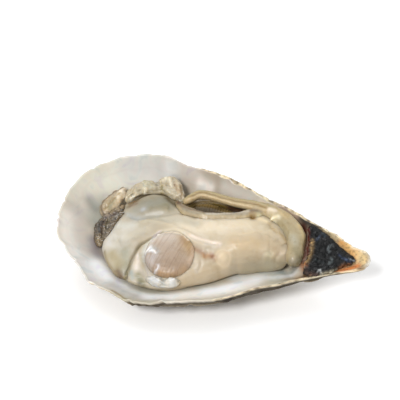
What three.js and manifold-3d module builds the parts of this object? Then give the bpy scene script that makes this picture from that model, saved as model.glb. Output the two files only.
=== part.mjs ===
// Oyster on the half shell: a cupped oyster valve that lies on its own belly and holds the whole animal.
// It is built in the shell's own frame, in millimetres: the hinge is at +X, the back edge at +Y, and the
// plane of the rim is z = 0. The last group leans that frame forward and sets the belly's flat spot on z = 0.
//
// The growing edge of the shell is one closed curve. Everything else of the shell follows from it: the bowl
// inside is measured from the edge inwards, and the outside is the same curve shrunk step by step towards
// the beak, as the animal laid it down. The soft pieces are pillows and lofts, cut to the bowl they lie in.
import * as THREE from "three";
import { mergeVertices } from "three/addons/utils/BufferGeometryUtils.js";
import Module from "manifold-3d";

const wasm = await Module();
wasm.setup();

// ---------------------------------------------------------------- driving dimensions
const GAP = 0.3; // clearance between pieces that touch
const LEAN_DEGREES = 12; // how far the shell leans forward where it lies
const BELLY_SPOT = [-8.5, -2.5, -18.6]; // middle of the flat spot it rests on

// The growing edge, from the hinge tip round by the back: x, y and height above the rim plane.
const RIM = [
  [53.3, -1, 1], [51.3, 1.5, 1.2], [47.5, 2.8, 1.2], [41, 6.9, 1], [33.5, 10.5, 0.5], [23.5, 15.5, 0.5],
  [12.5, 19.5, 1], [4, 23.5, 1.6], [-4.5, 26, 1.6], [-14, 27.5, 1.2], [-21.5, 30, 1.6], [-27.5, 29.5, 2],
  [-35.5, 27.5, 1.6], [-41.5, 24.5, 1], [-47, 20, 1], [-50, 13.5, 1.6], [-52, 4, 2.2], [-52, -5, 2.4],
  [-50.5, -9.8, 1.6], [-45.8, -15, 0.6], [-40.8, -19.8, 0], [-37, -24.2, -0.8], [-30.5, -26.7, -1.2],
  [-22, -29.7, -1], [-17.5, -30.2, -0.4], [-7.5, -28.7, 0.4], [3.5, -26.2, 0.4], [10.5, -23.2, 0],
  [18, -18.3, -0.4], [25, -15.3, -0.5], [34, -11.2, -0.5], [44, -7, -0.3], [51.8, -4.4, 0.5],
];

// The bowl inside the shell.
const BOWL_CENTRE = [-10, -1];
const BOWL_DEPTH = 13; // at the centre, below the rim plane
const BACK_DEEPER = 0.08; // the bowl is this much deeper for each millimetre towards the back
const BOWL_POWER = 2.2; // how flat the floor is and how steep the wall

// The plate that carries the ligament, at the hinge end of the bowl.
const PLATE_HEIGHT = -1.4;
const PLATE_START = 32;
const PLATE_SLOPE = 11; // length over which the plate falls to the floor of the bowl
const PLATE_DROP = 15;

// The wall of the shell.
const WALL_AT_RIM = 1.2;
const WALL_IN_MIDDLE = 5.8;

// The layers of the outside.
const BEAK = [42, -1]; // the oldest point, which the layers grow from
const LAYERS = 8;
const LAYER_LIFT = 1.2; // how far a layer's free edge stands off the next layer
const FULL_LIFT_REACH = 50; // the lift shrinks where the rim is nearer to the beak than this
const LAYER_WAVES = 9; // waves along a free edge
const FIRST_LAYER = 0.2; // size of the oldest layer that shows, as a share of the rim

// How finely the shell is cut into facets.
const RIM_FACETS = 60;
const BOWL_RINGS = [0.24, 0.46, 0.65, 0.8, 0.9, 0.97];

// ---------------------------------------------------------------- small helpers
const vector = (p) => new THREE.Vector3(p[0], p[1], p[2] ?? 0);
const mix = (a, b, t) => a + (b - a) * t;
const smooth = (t) => THREE.MathUtils.smoothstep(t, 0, 1);
const closedCurve = (points) => new THREE.CatmullRomCurve3(points.map(vector), true, "centripetal");
const openCurve = (points) => new THREE.CatmullRomCurve3(points.map(vector), false, "centripetal");

/** The larger of two heights, with the edge between them rounded over the given width. */
function softMax(a, b, width) {
  const h = THREE.MathUtils.clamp(0.5 + (a - b) / (2 * width), 0, 1);
  return mix(b, a, h) + width * h * (1 - h);
}

/** A closed skin from rings of equal point counts, with a point at each end. Rings run anticlockwise. */
function skin(firstPole, rings, lastPole) {
  const count = rings[0].length;
  const positions = [firstPole, ...rings.flat(), lastPole].flatMap((p) => [p.x, p.y, p.z]);
  const at = (ring, i) => 1 + ring * count + (i % count);
  const last = 1 + rings.length * count;
  const faces = [];
  for (let i = 0; i < count; i++) {
    faces.push(0, at(0, i), at(0, i + 1));
    faces.push(last, at(rings.length - 1, i + 1), at(rings.length - 1, i));
    for (let ring = 0; ring + 1 < rings.length; ring++) {
      faces.push(at(ring, i), at(ring + 1, i), at(ring + 1, i + 1));
      faces.push(at(ring, i), at(ring + 1, i + 1), at(ring, i + 1));
    }
  }
  const geometry = new THREE.BufferGeometry();
  geometry.setAttribute("position", new THREE.Float32BufferAttribute(positions, 3));
  geometry.setIndex(faces);
  return geometry;
}

/** A closed geometry as a solid, for joining and cutting. */
function solid(geometry) {
  const bare = geometry.clone();
  bare.deleteAttribute("normal");
  bare.deleteAttribute("uv");
  const merged = mergeVertices(bare, 1e-4);
  return new wasm.Manifold(
    new wasm.Mesh({
      numProp: 3,
      vertProperties: new Float32Array(merged.attributes.position.array),
      triVerts: new Uint32Array(merged.index.array),
    }),
  );
}

/** A solid as a named mesh of the group. */
function piece(name, manifold, material) {
  const mesh = manifold.getMesh();
  const geometry = new THREE.BufferGeometry();
  geometry.setAttribute("position", new THREE.BufferAttribute(new Float32Array(mesh.vertProperties), 3));
  geometry.setIndex(new THREE.BufferAttribute(new Uint32Array(mesh.triVerts), 1));
  geometry.computeVertexNormals();
  const made = new THREE.Mesh(geometry, material);
  made.name = name;
  return made;
}

const subtractAll = (from, cutters) => cutters.reduce((left, cutter) => left.subtract(cutter), from);
const joinAll = (solids) => solids.reduce((whole, next) => whole.add(next));

// ---------------------------------------------------------------- the shell's surfaces
const rimCurve = closedCurve(RIM);

/** Points of the rim as seen from the bowl's centre, in order of angle. */
const rimByAngle = rimCurve
  .getSpacedPoints(720)
  .map((p) => ({
    angle: Math.atan2(p.y - BOWL_CENTRE[1], p.x - BOWL_CENTRE[0]),
    radius: Math.hypot(p.x - BOWL_CENTRE[0], p.y - BOWL_CENTRE[1]),
    height: p.z,
  }))
  .sort((a, b) => a.angle - b.angle);

/** How far out a place is, from 0 at the bowl's centre to 1 at the rim, and how high the rim is there. */
function placeInBowl(x, y) {
  const dx = x - BOWL_CENTRE[0];
  const dy = y - BOWL_CENTRE[1];
  const angle = Math.atan2(dy, dx);
  let low = 0;
  let high = rimByAngle.length - 1;
  while (high - low > 1) {
    const middle = (low + high) >> 1;
    if (rimByAngle[middle].angle > angle) high = middle;
    else low = middle;
  }
  const { radius, height } = rimByAngle[low];
  return { share: Math.hypot(dx, dy) / radius, rimHeight: height };
}

/** Height of the bowl, before the hinge plate is built up in it. */
function bowlHeight({ share, rimHeight }, y) {
  const depth = BOWL_DEPTH + BACK_DEEPER * y;
  return rimHeight * share ** 2 - depth * (1 - Math.min(share, 1) ** BOWL_POWER);
}

/** Height of the pearly inside. */
function insideHeight(x, y) {
  const plate = PLATE_HEIGHT - PLATE_DROP * smooth((PLATE_START - x) / PLATE_SLOPE);
  return softMax(bowlHeight(placeInBowl(x, y), y), plate, 0.8);
}

/** Height of the outside, before its layers. */
function outsideHeight(x, y) {
  const place = placeInBowl(x, y);
  const inward = 1 - Math.min(place.share, 1) ** 2;
  return bowlHeight(place, y) - mix(WALL_AT_RIM, WALL_IN_MIDDLE, inward);
}

/** The direction out of the shell at a place on its outside. */
function outwards(x, y) {
  const step = 1;
  const slopeX = (outsideHeight(x + step, y) - outsideHeight(x - step, y)) / (2 * step);
  const slopeY = (outsideHeight(x, y + step) - outsideHeight(x, y - step)) / (2 * step);
  return new THREE.Vector3(slopeX, slopeY, -1).normalize();
}

const rimPoints = rimCurve.getSpacedPoints(RIM_FACETS).slice(0, RIM_FACETS);

/** A place on the inside of the shell, raised by lift. */
const onInside = (x, y, lift = 0) => new THREE.Vector3(x, y, insideHeight(x, y) + lift);

/** One ring of the inside: the rim shrunk towards the bowl's centre, and raised by lift. */
function bowlRing(share, lift = 0) {
  return rimPoints.map((p) =>
    onInside(mix(BOWL_CENTRE[0], p.x, share), mix(BOWL_CENTRE[1], p.y, share), lift),
  );
}

/** One ring of the outside: the rim shrunk towards the beak. lift stands it off along the way out. */
function layerRing(share, lift, layer) {
  return rimPoints.map((p, i) => {
    const turn = (2 * Math.PI * i) / RIM_FACETS;
    const wave = 1 + 0.45 * Math.sin(LAYER_WAVES * turn + 1.9 * layer) * Math.sin(2 * turn + layer);
    const reach = Math.min(1, Math.hypot(p.x - BEAK[0], p.y - BEAK[1]) / FULL_LIFT_REACH);
    const x = mix(BEAK[0], p.x, share);
    const y = mix(BEAK[1], p.y, share);
    const onOutside = new THREE.Vector3(x, y, outsideHeight(x, y));
    return onOutside.addScaledVector(outwards(x, y), lift * wave * reach);
  });
}

// ---------------------------------------------------------------- the shell
function shellGeometry() {
  const inside = [...BOWL_RINGS, 1].map((share) => bowlRing(share));
  const outside = [];
  for (let layer = LAYERS; layer > 0; layer--) {
    const edge = mix(FIRST_LAYER, 0.985, layer / LAYERS);
    if (layer < LAYERS) outside.push(layerRing(edge + 0.004, 0, layer));
    outside.push(layerRing(edge - 0.006, layer < LAYERS ? LAYER_LIFT : 0.2, layer));
  }
  outside.push(layerRing(FIRST_LAYER * 0.5, 0.4, 0));
  const beak = new THREE.Vector3(...BEAK, outsideHeight(...BEAK) - 0.4);
  return skin(onInside(...BOWL_CENTRE), [...inside, ...outside], beak);
}

/** All the space over the pearly inside, a gap clear of it. Soft pieces are cut to it. */
function spaceOverBowl() {
  const lift = GAP + 0.15; // the wall slopes, so the gap is measured a little more than straight up
  const top = 25;
  const rings = [...BOWL_RINGS, 1].map((share) => bowlRing(share, lift));
  const above = rimPoints.map((p) => new THREE.Vector3(p.x, p.y, top));
  const geometry = skin(
    onInside(...BOWL_CENTRE, lift),
    [...rings, above],
    new THREE.Vector3(...BOWL_CENTRE, top),
  );
  geometry.index.array.reverse(); // the faces of this skin look inwards until they are turned round
  return solid(geometry);
}

// ---------------------------------------------------------------- builders for soft pieces
/**
 * A soft mass that lies in the bowl. Its outline is a closed curve, its top follows top(x, y), and its side
 * is rolled under. belly says how far it reaches below its side.
 */
function pillow({ outline, centre, top, side, belly, facets, above, below, roll = 5 }) {
  const edge = closedCurve(outline).getSpacedPoints(facets).slice(0, facets);
  const ring = (share, height) =>
    edge.map((p) => {
      const x = mix(centre[0], p.x, share);
      const y = mix(centre[1], p.y, share);
      return new THREE.Vector3(x, y, height(x, y, share));
    });
  const over = (x, y, share) => side(x, y) + (top(x, y) - side(x, y)) * Math.sqrt(1 - share ** roll);
  const under = (x, y, share) => side(x, y) - belly * Math.sqrt(1 - share ** 2);
  const middle = new THREE.Vector3(...centre, top(...centre));
  const bottom = new THREE.Vector3(...centre, side(...centre) - belly);
  const rings = [
    ...above.map((share) => ring(share, over)),
    ring(1, (x, y) => side(x, y)),
    ...below.map((share) => ring(share, under)),
  ];
  return solid(skin(middle, rings, bottom));
}

/**
 * A rope or lobe along a line. Each station is x, y, z, half width and half height. more makes it that much
 * larger all round, for cutting room for it in a neighbour.
 */
function loft(stations, { more = 0, facets = 8, steps = 2 } = {}) {
  const line = openCurve(stations.map((s) => s.slice(0, 3)));
  const sizes = openCurve(stations.map((s) => [s[3], s[4], 0]));
  const count = (stations.length - 1) * steps;
  const end = 0.02;
  const rings = [];
  for (let i = 0; i <= count; i++) {
    const t = mix(end, 1 - end, i / count);
    const centre = line.getPoint(t);
    const size = sizes.getPoint(t);
    const along = line.getTangent(t).setZ(0).normalize();
    const across = new THREE.Vector3(along.y, -along.x, 0);
    const rounding = Math.sqrt(1 - Math.max(0, 1 - (Math.min(i, count - i) + 0.35) / (steps * 0.9)) ** 2);
    const ring = [];
    for (let k = 0; k < facets; k++) {
      const turn = (2 * Math.PI * k) / facets;
      const point = centre.clone().addScaledVector(across, (size.x * rounding + more) * Math.cos(turn));
      point.z += (size.y * rounding + more) * Math.sin(turn);
      ring.push(point);
    }
    rings.push(ring);
  }
  const pole = (t, way) => {
    const along = line.getTangent(t).setZ(0).normalize();
    return line.getPoint(t).addScaledVector(along, way * more);
  };
  return solid(skin(pole(0, -1), rings, pole(1, 1)));
}

/** A smooth surface through a few measured heights: each knot is x, y and height. */
function surfaceThrough(knots, reach) {
  return (x, y) => {
    let sum = 0;
    let weights = 1e-12;
    for (const [kx, ky, height] of knots) {
      const weight = Math.exp(-((x - kx) ** 2 + (y - ky) ** 2) / (reach * reach));
      sum += weight * height;
      weights += weight;
    }
    return sum / weights;
  };
}

// ---------------------------------------------------------------- the body
// Belly, left mantle lobe and gill dome are one skin.
const BODY_OUTLINE = [
  [29.6, 0.5], [28.5, 6], [24, 11.5], [17.5, 15.3], [8, 17], [-3, 18.2], [-11, 17.3], [-17.5, 18.2],
  [-23, 18.8], [-28, 17], [-32, 13], [-35, 7.2], [-36.2, 0], [-36.5, -7], [-33, -14], [-29, -18.3],
  [-24.5, -21.2], [-18, -22.6], [-11, -21.5], [-3, -18], [4.5, -13.6], [10.5, -8.8], [16, -6], [22, -4.8],
  [27, -3.6],
];
const BODY_HEIGHTS = [
  [-32, -5, 0.3], [-32, -12, -0.8], [-28, -17, -1.8], [-31, 3, 0], [-28, 9, -0.4], [-22, 13, 1.4],
  [-28, 13.5, -0.2], [-22, 17, 1.2], [-16, 15.5, 0.8], [-23, 6, 0], [-17, 11, 0.6], [-23, -1, 1.1], [-14, 2, 1.7], [-6, 1, 2.8], [3, 2, 3.6], [12, 4, 3.4],
  [12, -3, 3.9], [20, 1, 3], [20, -5, 0.6], [26, -1, 0.8], [5, -8, 2.1], [-2, -11, 1.1], [-3, -16, -1.2],
  [-12, -11, 1.2], [-21, -12, -0.6], [-20, -19, -2.2], [-12, -20, -1.8], [0, 10, 1.2], [10, 12, 1.2],
  [20, 10, 0.8], [-8, 10, 0.6], [28, 6, 0], [-9, 17, -1.5], [5, 17, -1],
];
const bodyTop = surfaceThrough(BODY_HEIGHTS, 6);
const SIDE_OVER_BOWL = 1.8; // the rolled side stands this far over the bowl

function wholeBody() {
  return pillow({
    outline: BODY_OUTLINE,
    centre: [-6, -3],
    top: bodyTop,
    side: (x, y) => insideHeight(x, y) + SIDE_OVER_BOWL,
    belly: 9,
    facets: 46,
    above: [0.2, 0.4, 0.58, 0.74, 0.87, 0.96],
    below: [0.95, 0.7],
  });
}

// The fold that parts the left lobe from the muscle: x, y, and half its width and its depth.
const LOBE_FOLD = [
  [-25.1, -23, -3, 0.7, 4.6], [-24.5, -17.7, -1, 0.55, 3.6], [-24, -12.4, 0.2, 0.5, 2.8],
  [-22.6, -7.6, 1.2, 0.45, 2.1], [-20.3, -4.2, 1.9, 0.4, 1.4], [-17.5, -2.4, 2.3, 0.35, 0.6],
];

// ---------------------------------------------------------------- the muscle
const MUSCLE_AT = [-12.1, -10.3];
const MUSCLE_RADIUS = [7.9, 8.1];
const MUSCLE_TOP = 1.9;
const MUSCLE_TILT_DEGREES = 10;

/** The muscle the shell was cut from: a short column from the bowl to its cut, domed face. */
function muscleColumn(more = 0) {
  const profile = [
    [0, 0.5], [0.45, 0.4], [0.75, 0.05], [0.93, -0.65], [1, -1.6], [1, -24], [0, -24],
  ].map(([radius, height]) => new THREE.Vector2(radius, height));
  const column = new THREE.LatheGeometry(profile.reverse(), 26)
    .rotateX(Math.PI / 2)
    .scale(MUSCLE_RADIUS[0] + more, MUSCLE_RADIUS[1] + more, 1)
    .rotateX(THREE.MathUtils.degToRad(MUSCLE_TILT_DEGREES))
    .translate(...MUSCLE_AT, MUSCLE_TOP + more);
  return solid(column);
}

// The opaque white part of the muscle, in front of the other.
const CATCH_MUSCLE = [
  [-18.2, -19, -2.4, 0.9, 1.2], [-15.6, -20.3, -2.4, 1.7, 1.7], [-12.2, -20.9, -2.4, 1.8, 1.7],
  [-9, -20.3, -2.3, 1.8, 1.7], [-6.8, -19.1, -2.4, 1, 1.2],
];

// ---------------------------------------------------------------- the mantle's edges
const UPPER_FOLD = [
  [-12.6, 12.2, -0.2, 1, 1.2], [-10.4, 13.4, 0.3, 1.3, 1.4], [-8, 15.8, 0.4, 1.4, 1.5],
  [-4.5, 16.2, 0.5, 1.4, 1.5], [0, 15.3, 0.6, 1.4, 1.5], [5.5, 14.5, 0.6, 1.5, 1.6],
  [11, 14.2, 0.6, 1.7, 1.7], [16.5, 13.4, 0.6, 2, 1.9], [21.5, 11.2, 0.4, 2.6, 2.2],
  [25.6, 7.8, 0.1, 3, 2.4], [28.3, 3.4, -0.3, 3, 2.5], [28.8, -1.2, -0.9, 2.8, 2.4],
  [27.9, -5.3, -2.3, 2.2, 2],
];
const LOWER_FOLD = [
  [-14.6, 12.2, 0, 0.9, 1], [-12, 9.3, 0.6, 1.1, 1.1], [-9, 7.9, 1, 1.2, 1.2], [-4.5, 7.2, 1.3, 1.3, 1.3],
  [1.5, 8, 1.1, 1.2, 1.3], [7, 9.2, 0.9, 1.3, 1.3], [11.5, 10.6, 1.1, 1.5, 1.5], [16, 12, 1.2, 1.5, 1.5],
];
const FOLD_KNOB = [
  [14.5, 13.2, 1.4, 1, 1], [18.3, 11.6, 2.1, 1, 1.1], [19.3, 9.4, 1.9, 0.9, 1], [17.6, 8.4, 1.6, 0.7, 0.8],
];
const FRILL = [
  [-32.6, 12.2, -2.8, 1, 1.1], [-31, 15, -2.6, 1.5, 1.5], [-28.4, 17.5, -2.4, 2.2, 1.8],
  [-26, 18.2, -2, 2.3, 1.9], [-23.6, 18.2, -2, 1.6, 1.7], [-21, 19.5, -1.3, 2.3, 2.1],
  [-18.2, 20, -0.9, 2.6, 2.3], [-16, 18, -0.8, 2.1, 2], [-14.3, 15.6, -0.7, 1.6, 1.5],
  [-13.1, 13.4, -0.4, 1.1, 1.1],
];
const FRILL_RIBBON = [
  [-32.6, 11.4, -2.8, 0.8, 1], [-30.8, 13.8, -2, 1.1, 1.3], [-28.4, 15.4, -1.4, 1.2, 1.4],
  [-25.6, 16.6, -1, 1.3, 1.5], [-22.2, 17.2, -0.8, 1.3, 1.5], [-19.2, 16.9, -0.6, 1.3, 1.4],
  [-16.6, 15.5, -0.5, 1.2, 1.3], [-14.8, 13.9, -0.4, 1, 1.1],
];
const EAR = [
  [-33.6, 17.4, -3.3, 0.9, 0.8], [-35.3, 14.4, -3.5, 2.1, 1.1], [-36.9, 11.2, -3.9, 2.8, 1.3],
  [-38, 8.3, -4.4, 2.6, 1.3], [-38.3, 5.7, -5, 1.4, 1],
];
const DARK_EDGE = [
  [-32.8, 10.6, -4, 0.7, 0.9], [-34, 7.8, -4.4, 1.3, 1.3], [-36.4, 4.4, -4.9, 2.5, 1.7],
  [-37.8, 1, -5.3, 2.7, 1.8], [-38.2, -2.4, -5.3, 2.2, 1.7], [-37.8, -5.2, -5, 1.4, 1.4],
  [-37.1, -7.4, -4.8, 0.8, 1],
];

// The hollow between the two folds, and the gills that lie in it.
const HOLLOW = [
  [-11.8, 10.8, 0, 0.8, 3], [-8, 12, 0, 3, 4.4], [-4.5, 12.3, 0, 3.8, 5], [0, 12, 0, 3.3, 5],
  [5, 12.1, 0, 2.8, 4.8], [11, 12.7, 0, 1.5, 3.6],
];
const GILLS = [
  [-9.5, 11.4, -2.2, 1, 0.9], [-6.5, 12, -2.4, 2.2, 1.2], [-3, 12.2, -2.6, 2.6, 1.3],
  [1, 12, -2.9, 2.1, 1.2], [5.5, 12.2, -3.2, 1.4, 1],
];

// ---------------------------------------------------------------- the ligament
const LIGAMENT_OUTLINE = [
  [31, 10], [32, 5.5], [32.5, 0], [32.8, -5], [32.6, -10], [36.5, -10.2], [40.5, -8.6], [44.5, -4.9],
  [48.8, -1.6], [45.5, 0.8], [41, 4.2], [38.5, 7], [35, 9.4],
];
const LIGAMENT_THICKNESS = 1.5;

function ligamentPad() {
  return pillow({
    outline: LIGAMENT_OUTLINE,
    centre: [37.5, -1],
    top: (x, y) => PLATE_HEIGHT + GAP + LIGAMENT_THICKNESS + 0.25 * Math.sin(1.1 * y) * Math.cos(0.7 * x),
    side: () => PLATE_HEIGHT + GAP + 0.5,
    belly: 3,
    facets: 28,
    above: [0.4, 0.75, 0.95],
    below: [0.9],
    roll: 8,
  });
}

// ---------------------------------------------------------------- materials
const finish = (color, roughness) => new THREE.MeshStandardMaterial({ color, roughness, metalness: 0 });
const materials = {
  shell: finish(0xb9ab92, 0.7),
  ligament: finish(0x24272a, 0.5),
  body: finish(0xddcfb0, 0.35),
  muscle: finish(0xc2a893, 0.35),
  catchMuscle: finish(0xe4e4de, 0.3),
  fold: finish(0xcbb88f, 0.35),
  frill: finish(0xc4b597, 0.4),
  darkEdge: finish(0x6a6152, 0.35),
  gills: finish(0x63553c, 0.45),
};

// ---------------------------------------------------------------- fitting the pieces together
const space = spaceOverBowl();
const inBowl = (manifold) => manifold.intersect(space);

const ligament = inBowl(ligamentPad());
const muscle = inBowl(muscleColumn());
const folds = inBowl(joinAll([loft(UPPER_FOLD), loft(LOWER_FOLD), loft(FOLD_KNOB)])).subtract(
  solid(new THREE.BoxGeometry(40, 60, 60).translate(20 + LIGAMENT_OUTLINE[0][0] - 0.4, 0, 0)),
);
const foldRoom = [UPPER_FOLD, LOWER_FOLD, FOLD_KNOB].map((line) => loft(line, { more: GAP }));
const frill = subtractAll(inBowl(loft(FRILL).add(loft(FRILL_RIBBON))), foldRoom);
const frillRoom = loft(FRILL, { more: GAP }).add(loft(FRILL_RIBBON, { more: GAP }));
const ear = inBowl(loft(EAR)).subtract(frillRoom);
const earRoom = loft(EAR, { more: GAP });
const darkEdge = subtractAll(inBowl(loft(DARK_EDGE)), [earRoom, frillRoom]);
const darkRoom = loft(DARK_EDGE, { more: GAP });
const muscleRoom = muscleColumn(GAP);
const catchMuscle = inBowl(loft(CATCH_MUSCLE)).subtract(muscleRoom);
const gills = subtractAll(inBowl(loft(GILLS)), foldRoom);
const body = subtractAll(inBowl(wholeBody()), [
  ...foldRoom,
  frillRoom,
  earRoom,
  darkRoom,
  muscleRoom,
  loft(CATCH_MUSCLE, { more: GAP }),
  loft(HOLLOW),
  loft(GILLS, { more: GAP }),
  loft(LOBE_FOLD, { facets: 8 }),
]);

/** The largest body of a solid: cutting can leave crumbs beside it. */
function largest(manifold) {
  return manifold.decompose().reduce((a, b) => (a.volume() >= b.volume() ? a : b));
}

// ---------------------------------------------------------------- the shell's flat spot and the whole
const lean = THREE.MathUtils.degToRad(LEAN_DEGREES);
const spot = vector(BELLY_SPOT);
const underFloor = new THREE.BoxGeometry(200, 200, 40)
  .translate(0, 0, -20)
  .rotateX(-lean)
  .translate(...spot.toArray());
const shell = solid(shellGeometry()).subtract(solid(underFloor));

const oyster = new THREE.Group();
oyster.add(
  piece("shell", largest(shell), materials.shell),
  piece("ligament", largest(ligament), materials.ligament),
  piece("body", largest(body), materials.body),
  piece("adductor_muscle", largest(muscle), materials.muscle),
  piece("catch_muscle", largest(catchMuscle), materials.catchMuscle),
  piece("mantle_folds", largest(folds), materials.fold),
  piece("mantle_frill", largest(frill), materials.frill),
  piece("mantle_ear", largest(ear), materials.frill),
  piece("mantle_dark_edge", largest(darkEdge), materials.darkEdge),
  piece("gills", largest(gills), materials.gills),
);
oyster.rotation.x = lean;
oyster.position.copy(spot.clone().applyAxisAngle(new THREE.Vector3(1, 0, 0), lean).negate());

export default oyster;
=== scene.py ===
"""An oyster on the half shell: a cupped shell lying on its belly, with the whole wet animal in it."""

from math import cos, pi, radians, sin

import bpy
import numpy as np
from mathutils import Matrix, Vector, noise
from mathutils.bvhtree import BVHTree


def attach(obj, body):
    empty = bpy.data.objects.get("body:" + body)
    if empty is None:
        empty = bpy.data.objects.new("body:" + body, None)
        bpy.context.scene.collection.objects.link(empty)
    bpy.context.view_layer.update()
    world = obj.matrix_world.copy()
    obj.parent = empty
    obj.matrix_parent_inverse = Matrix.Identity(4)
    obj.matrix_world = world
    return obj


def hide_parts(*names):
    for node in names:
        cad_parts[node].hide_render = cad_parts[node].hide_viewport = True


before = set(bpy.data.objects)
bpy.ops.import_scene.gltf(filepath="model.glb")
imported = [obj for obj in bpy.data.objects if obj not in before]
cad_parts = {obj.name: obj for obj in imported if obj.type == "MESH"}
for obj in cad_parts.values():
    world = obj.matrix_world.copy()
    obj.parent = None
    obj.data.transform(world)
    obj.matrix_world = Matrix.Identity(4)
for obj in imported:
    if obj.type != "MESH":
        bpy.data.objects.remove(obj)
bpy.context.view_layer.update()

MM = 0.001

# ---------------------------------------------------------------- camera
# A long lens a little above the table, turned a few degrees towards the hinge.
CAMERA_AZIMUTH, CAMERA_ELEVATION = radians(12), radians(40)
CAMERA_DISTANCE = 600 * MM
LENS_MM, SENSOR_MM = 160, 36
AIM = Vector((1.71, 11.83, 22.11)) * MM

bpy.ops.object.camera_add()
camera = bpy.context.object
level_x, level_y = sin(CAMERA_AZIMUTH), -cos(CAMERA_AZIMUTH)
level_share = cos(CAMERA_ELEVATION)
towards_camera = Vector((level_x * level_share, level_y * level_share, sin(CAMERA_ELEVATION)))
camera.location = AIM + towards_camera * CAMERA_DISTANCE
camera.rotation_euler = towards_camera.to_track_quat("Z", "Y").to_euler()
camera.data.lens = LENS_MM
camera.data.sensor_width = SENSOR_MM
camera.data.clip_start = 10 * MM
bpy.context.scene.camera = camera


# ---------------------------------------------------------------- table and light
# A white table under one large soft lamp, high in front and to the left, with a weak one overhead.
def linear(hex_colour):
    """An sRGB hex colour as linear red, green, blue and alpha."""
    channels = [int(hex_colour[i : i + 2], 16) / 255 for i in (0, 2, 4)]
    return [c / 12.92 if c <= 0.04045 else ((c + 0.055) / 1.055) ** 2.4 for c in channels] + [1.0]


def set_inputs(tree, node, inputs):
    """Sets a node's inputs. One that is given another node's output is linked to it."""
    for name, value in inputs.items():
        if isinstance(value, bpy.types.NodeSocket):
            tree.links.new(value, node.inputs[name])
        else:
            node.inputs[name].default_value = value


def add_node(tree, kind, inputs=None, out=0, stops=(), **settings):
    """Adds a node with its settings and inputs. Returns the output asked for. stops are a ramp's tones."""
    made = tree.nodes.new("ShaderNode" + kind)
    for name, value in settings.items():
        setattr(made, name, value)
    set_inputs(tree, made, inputs or {})
    for number, (place, hex_colour) in enumerate(stops):
        elements = made.color_ramp.elements
        element = elements[number] if number < 2 else elements.new(place)
        element.position = place
        element.color = linear(hex_colour)
    return made.outputs[out]


def new_material(name):
    """An empty node material: its tree and its Principled shader."""
    made = bpy.data.materials.new(name)
    made.use_nodes = True
    return made, made.node_tree, made.node_tree.nodes["Principled BSDF"]


def deselect_all():
    """Leaves nothing selected."""
    for thing in bpy.context.selected_objects:
        thing.select_set(False)


def primitive(name, add, **settings):
    """Adds a primitive with one of Blender's operators, alone in the selection, and names it."""
    deselect_all()
    add(**settings)
    made = bpy.context.object
    made.name = made.data.name = name
    return made


TABLE_SIZE = 12.0
table = primitive("table", bpy.ops.mesh.primitive_plane_add, size=TABLE_SIZE)
white, tree, shader = new_material("matt_white_laminate")
set_inputs(tree, shader, {"Base Color": linear("fcfcfc"), "Roughness": 0.6})
table.data.materials.append(white)


def lamp(name, way, spread, strength):
    """A big soft lamp, far off the way given. spread is how wide it looks from the table, in degrees."""
    bpy.ops.object.light_add(type="SUN", location=(0, 0, 1))
    made = bpy.context.object
    made.name = name
    made.data.angle = radians(spread)
    made.data.energy = strength
    made.rotation_euler = Vector(way).to_track_quat("Z", "Y").to_euler()


lamp("key", (-0.2, -0.67, 0.72), spread=16, strength=2.5)
lamp("top", (-0.1, 0.35, 1.0), spread=50, strength=0.7)
world = bpy.data.worlds.new("studio")
bpy.context.scene.world = world
world.use_nodes = True
sky = world.node_tree.nodes["Background"]
set_inputs(world.node_tree, sky, {"Color": linear("ffffff"), "Strength": 0.66})
bpy.context.scene.view_settings.view_transform = "Standard"

# ---------------------------------------------------------------- shell
# The deep valve of a cupped oyster. Outside it is prismatic, chalky
# layers, laid down one inside the other, so each free edge stands off like
# a shingle. Inside it is nacre, smooth and satin, to a hair from the edge.
LEAN = radians(12)  # the shell lies leaning forward
BELLY_SPOT = np.array([-8.5, -2.5, -18.6])  # the place it rests on, in the shell's own frame
TO_TABLE = np.array([[1, 0, 0], [0, cos(LEAN), -sin(LEAN)], [0, sin(LEAN), cos(LEAN)]])

# The growing edge in the shell's own frame, in mm, from the hinge tip round by the back: x, y, height.
RIM = [
    (53.3, -1, 1), (51.3, 1.5, 1.2), (47.5, 2.8, 1.2), (41, 6.9, 1), (33.5, 10.5, 0.5), (23.5, 15.5, 0.5),
    (12.5, 19.5, 1), (4, 23.5, 1.6), (-4.5, 26, 1.6), (-14, 27.5, 1.2), (-21.5, 30, 1.6), (-27.5, 29.5, 2),
    (-35.5, 27.5, 1.6), (-41.5, 24.5, 1), (-47, 20, 1), (-50, 13.5, 1.6), (-52, 4, 2.2), (-52, -5, 2.4),
    (-50.5, -9.8, 1.6), (-45.8, -15, 0.6), (-40.8, -19.8, 0), (-37, -24.2, -0.8), (-30.5, -26.7, -1.2),
    (-22, -29.7, -1), (-17.5, -30.2, -0.4), (-7.5, -28.7, 0.4), (3.5, -26.2, 0.4), (10.5, -23.2, 0),
    (18, -18.3, -0.4), (25, -15.3, -0.5), (34, -11.2, -0.5), (44, -7, -0.3), (51.8, -4.4, 0.5),
]
BOWL_CENTRE, BOWL_DEPTH, BOWL_POWER = (-10, -1), 13, 2.2
BACK_DEEPER = 0.08  # how much deeper the bowl is for each mm further back
PLATE_HEIGHT, PLATE_START, PLATE_SLOPE, PLATE_DROP = -1.4, 32, 11, 15  # the hinge plate
PLATE_BLEND = 1.6  # height over which the plate and the bowl run into each other
WALL_AT_RIM, WALL_IN_MIDDLE = 1.2, 5.8
BEAK = (42, -1)  # the oldest point, which the layers grow from
COLUMNS = 420  # points round the rim
LAYERS = 24
FIRST_LAYER, LAST_LAYER = 0.1, 0.985  # size of the oldest and the newest layer, as a share of the rim
LAYER_CROWDING = 0.78  # below 1, the layers are narrower towards the edge
LAYER_LIFT = 1.5  # how far a free edge stands off the next layer
FULL_LIFT = 50  # how far from the beak the edges stand off so far
LAYER_THICKNESS = 0.35
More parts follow.
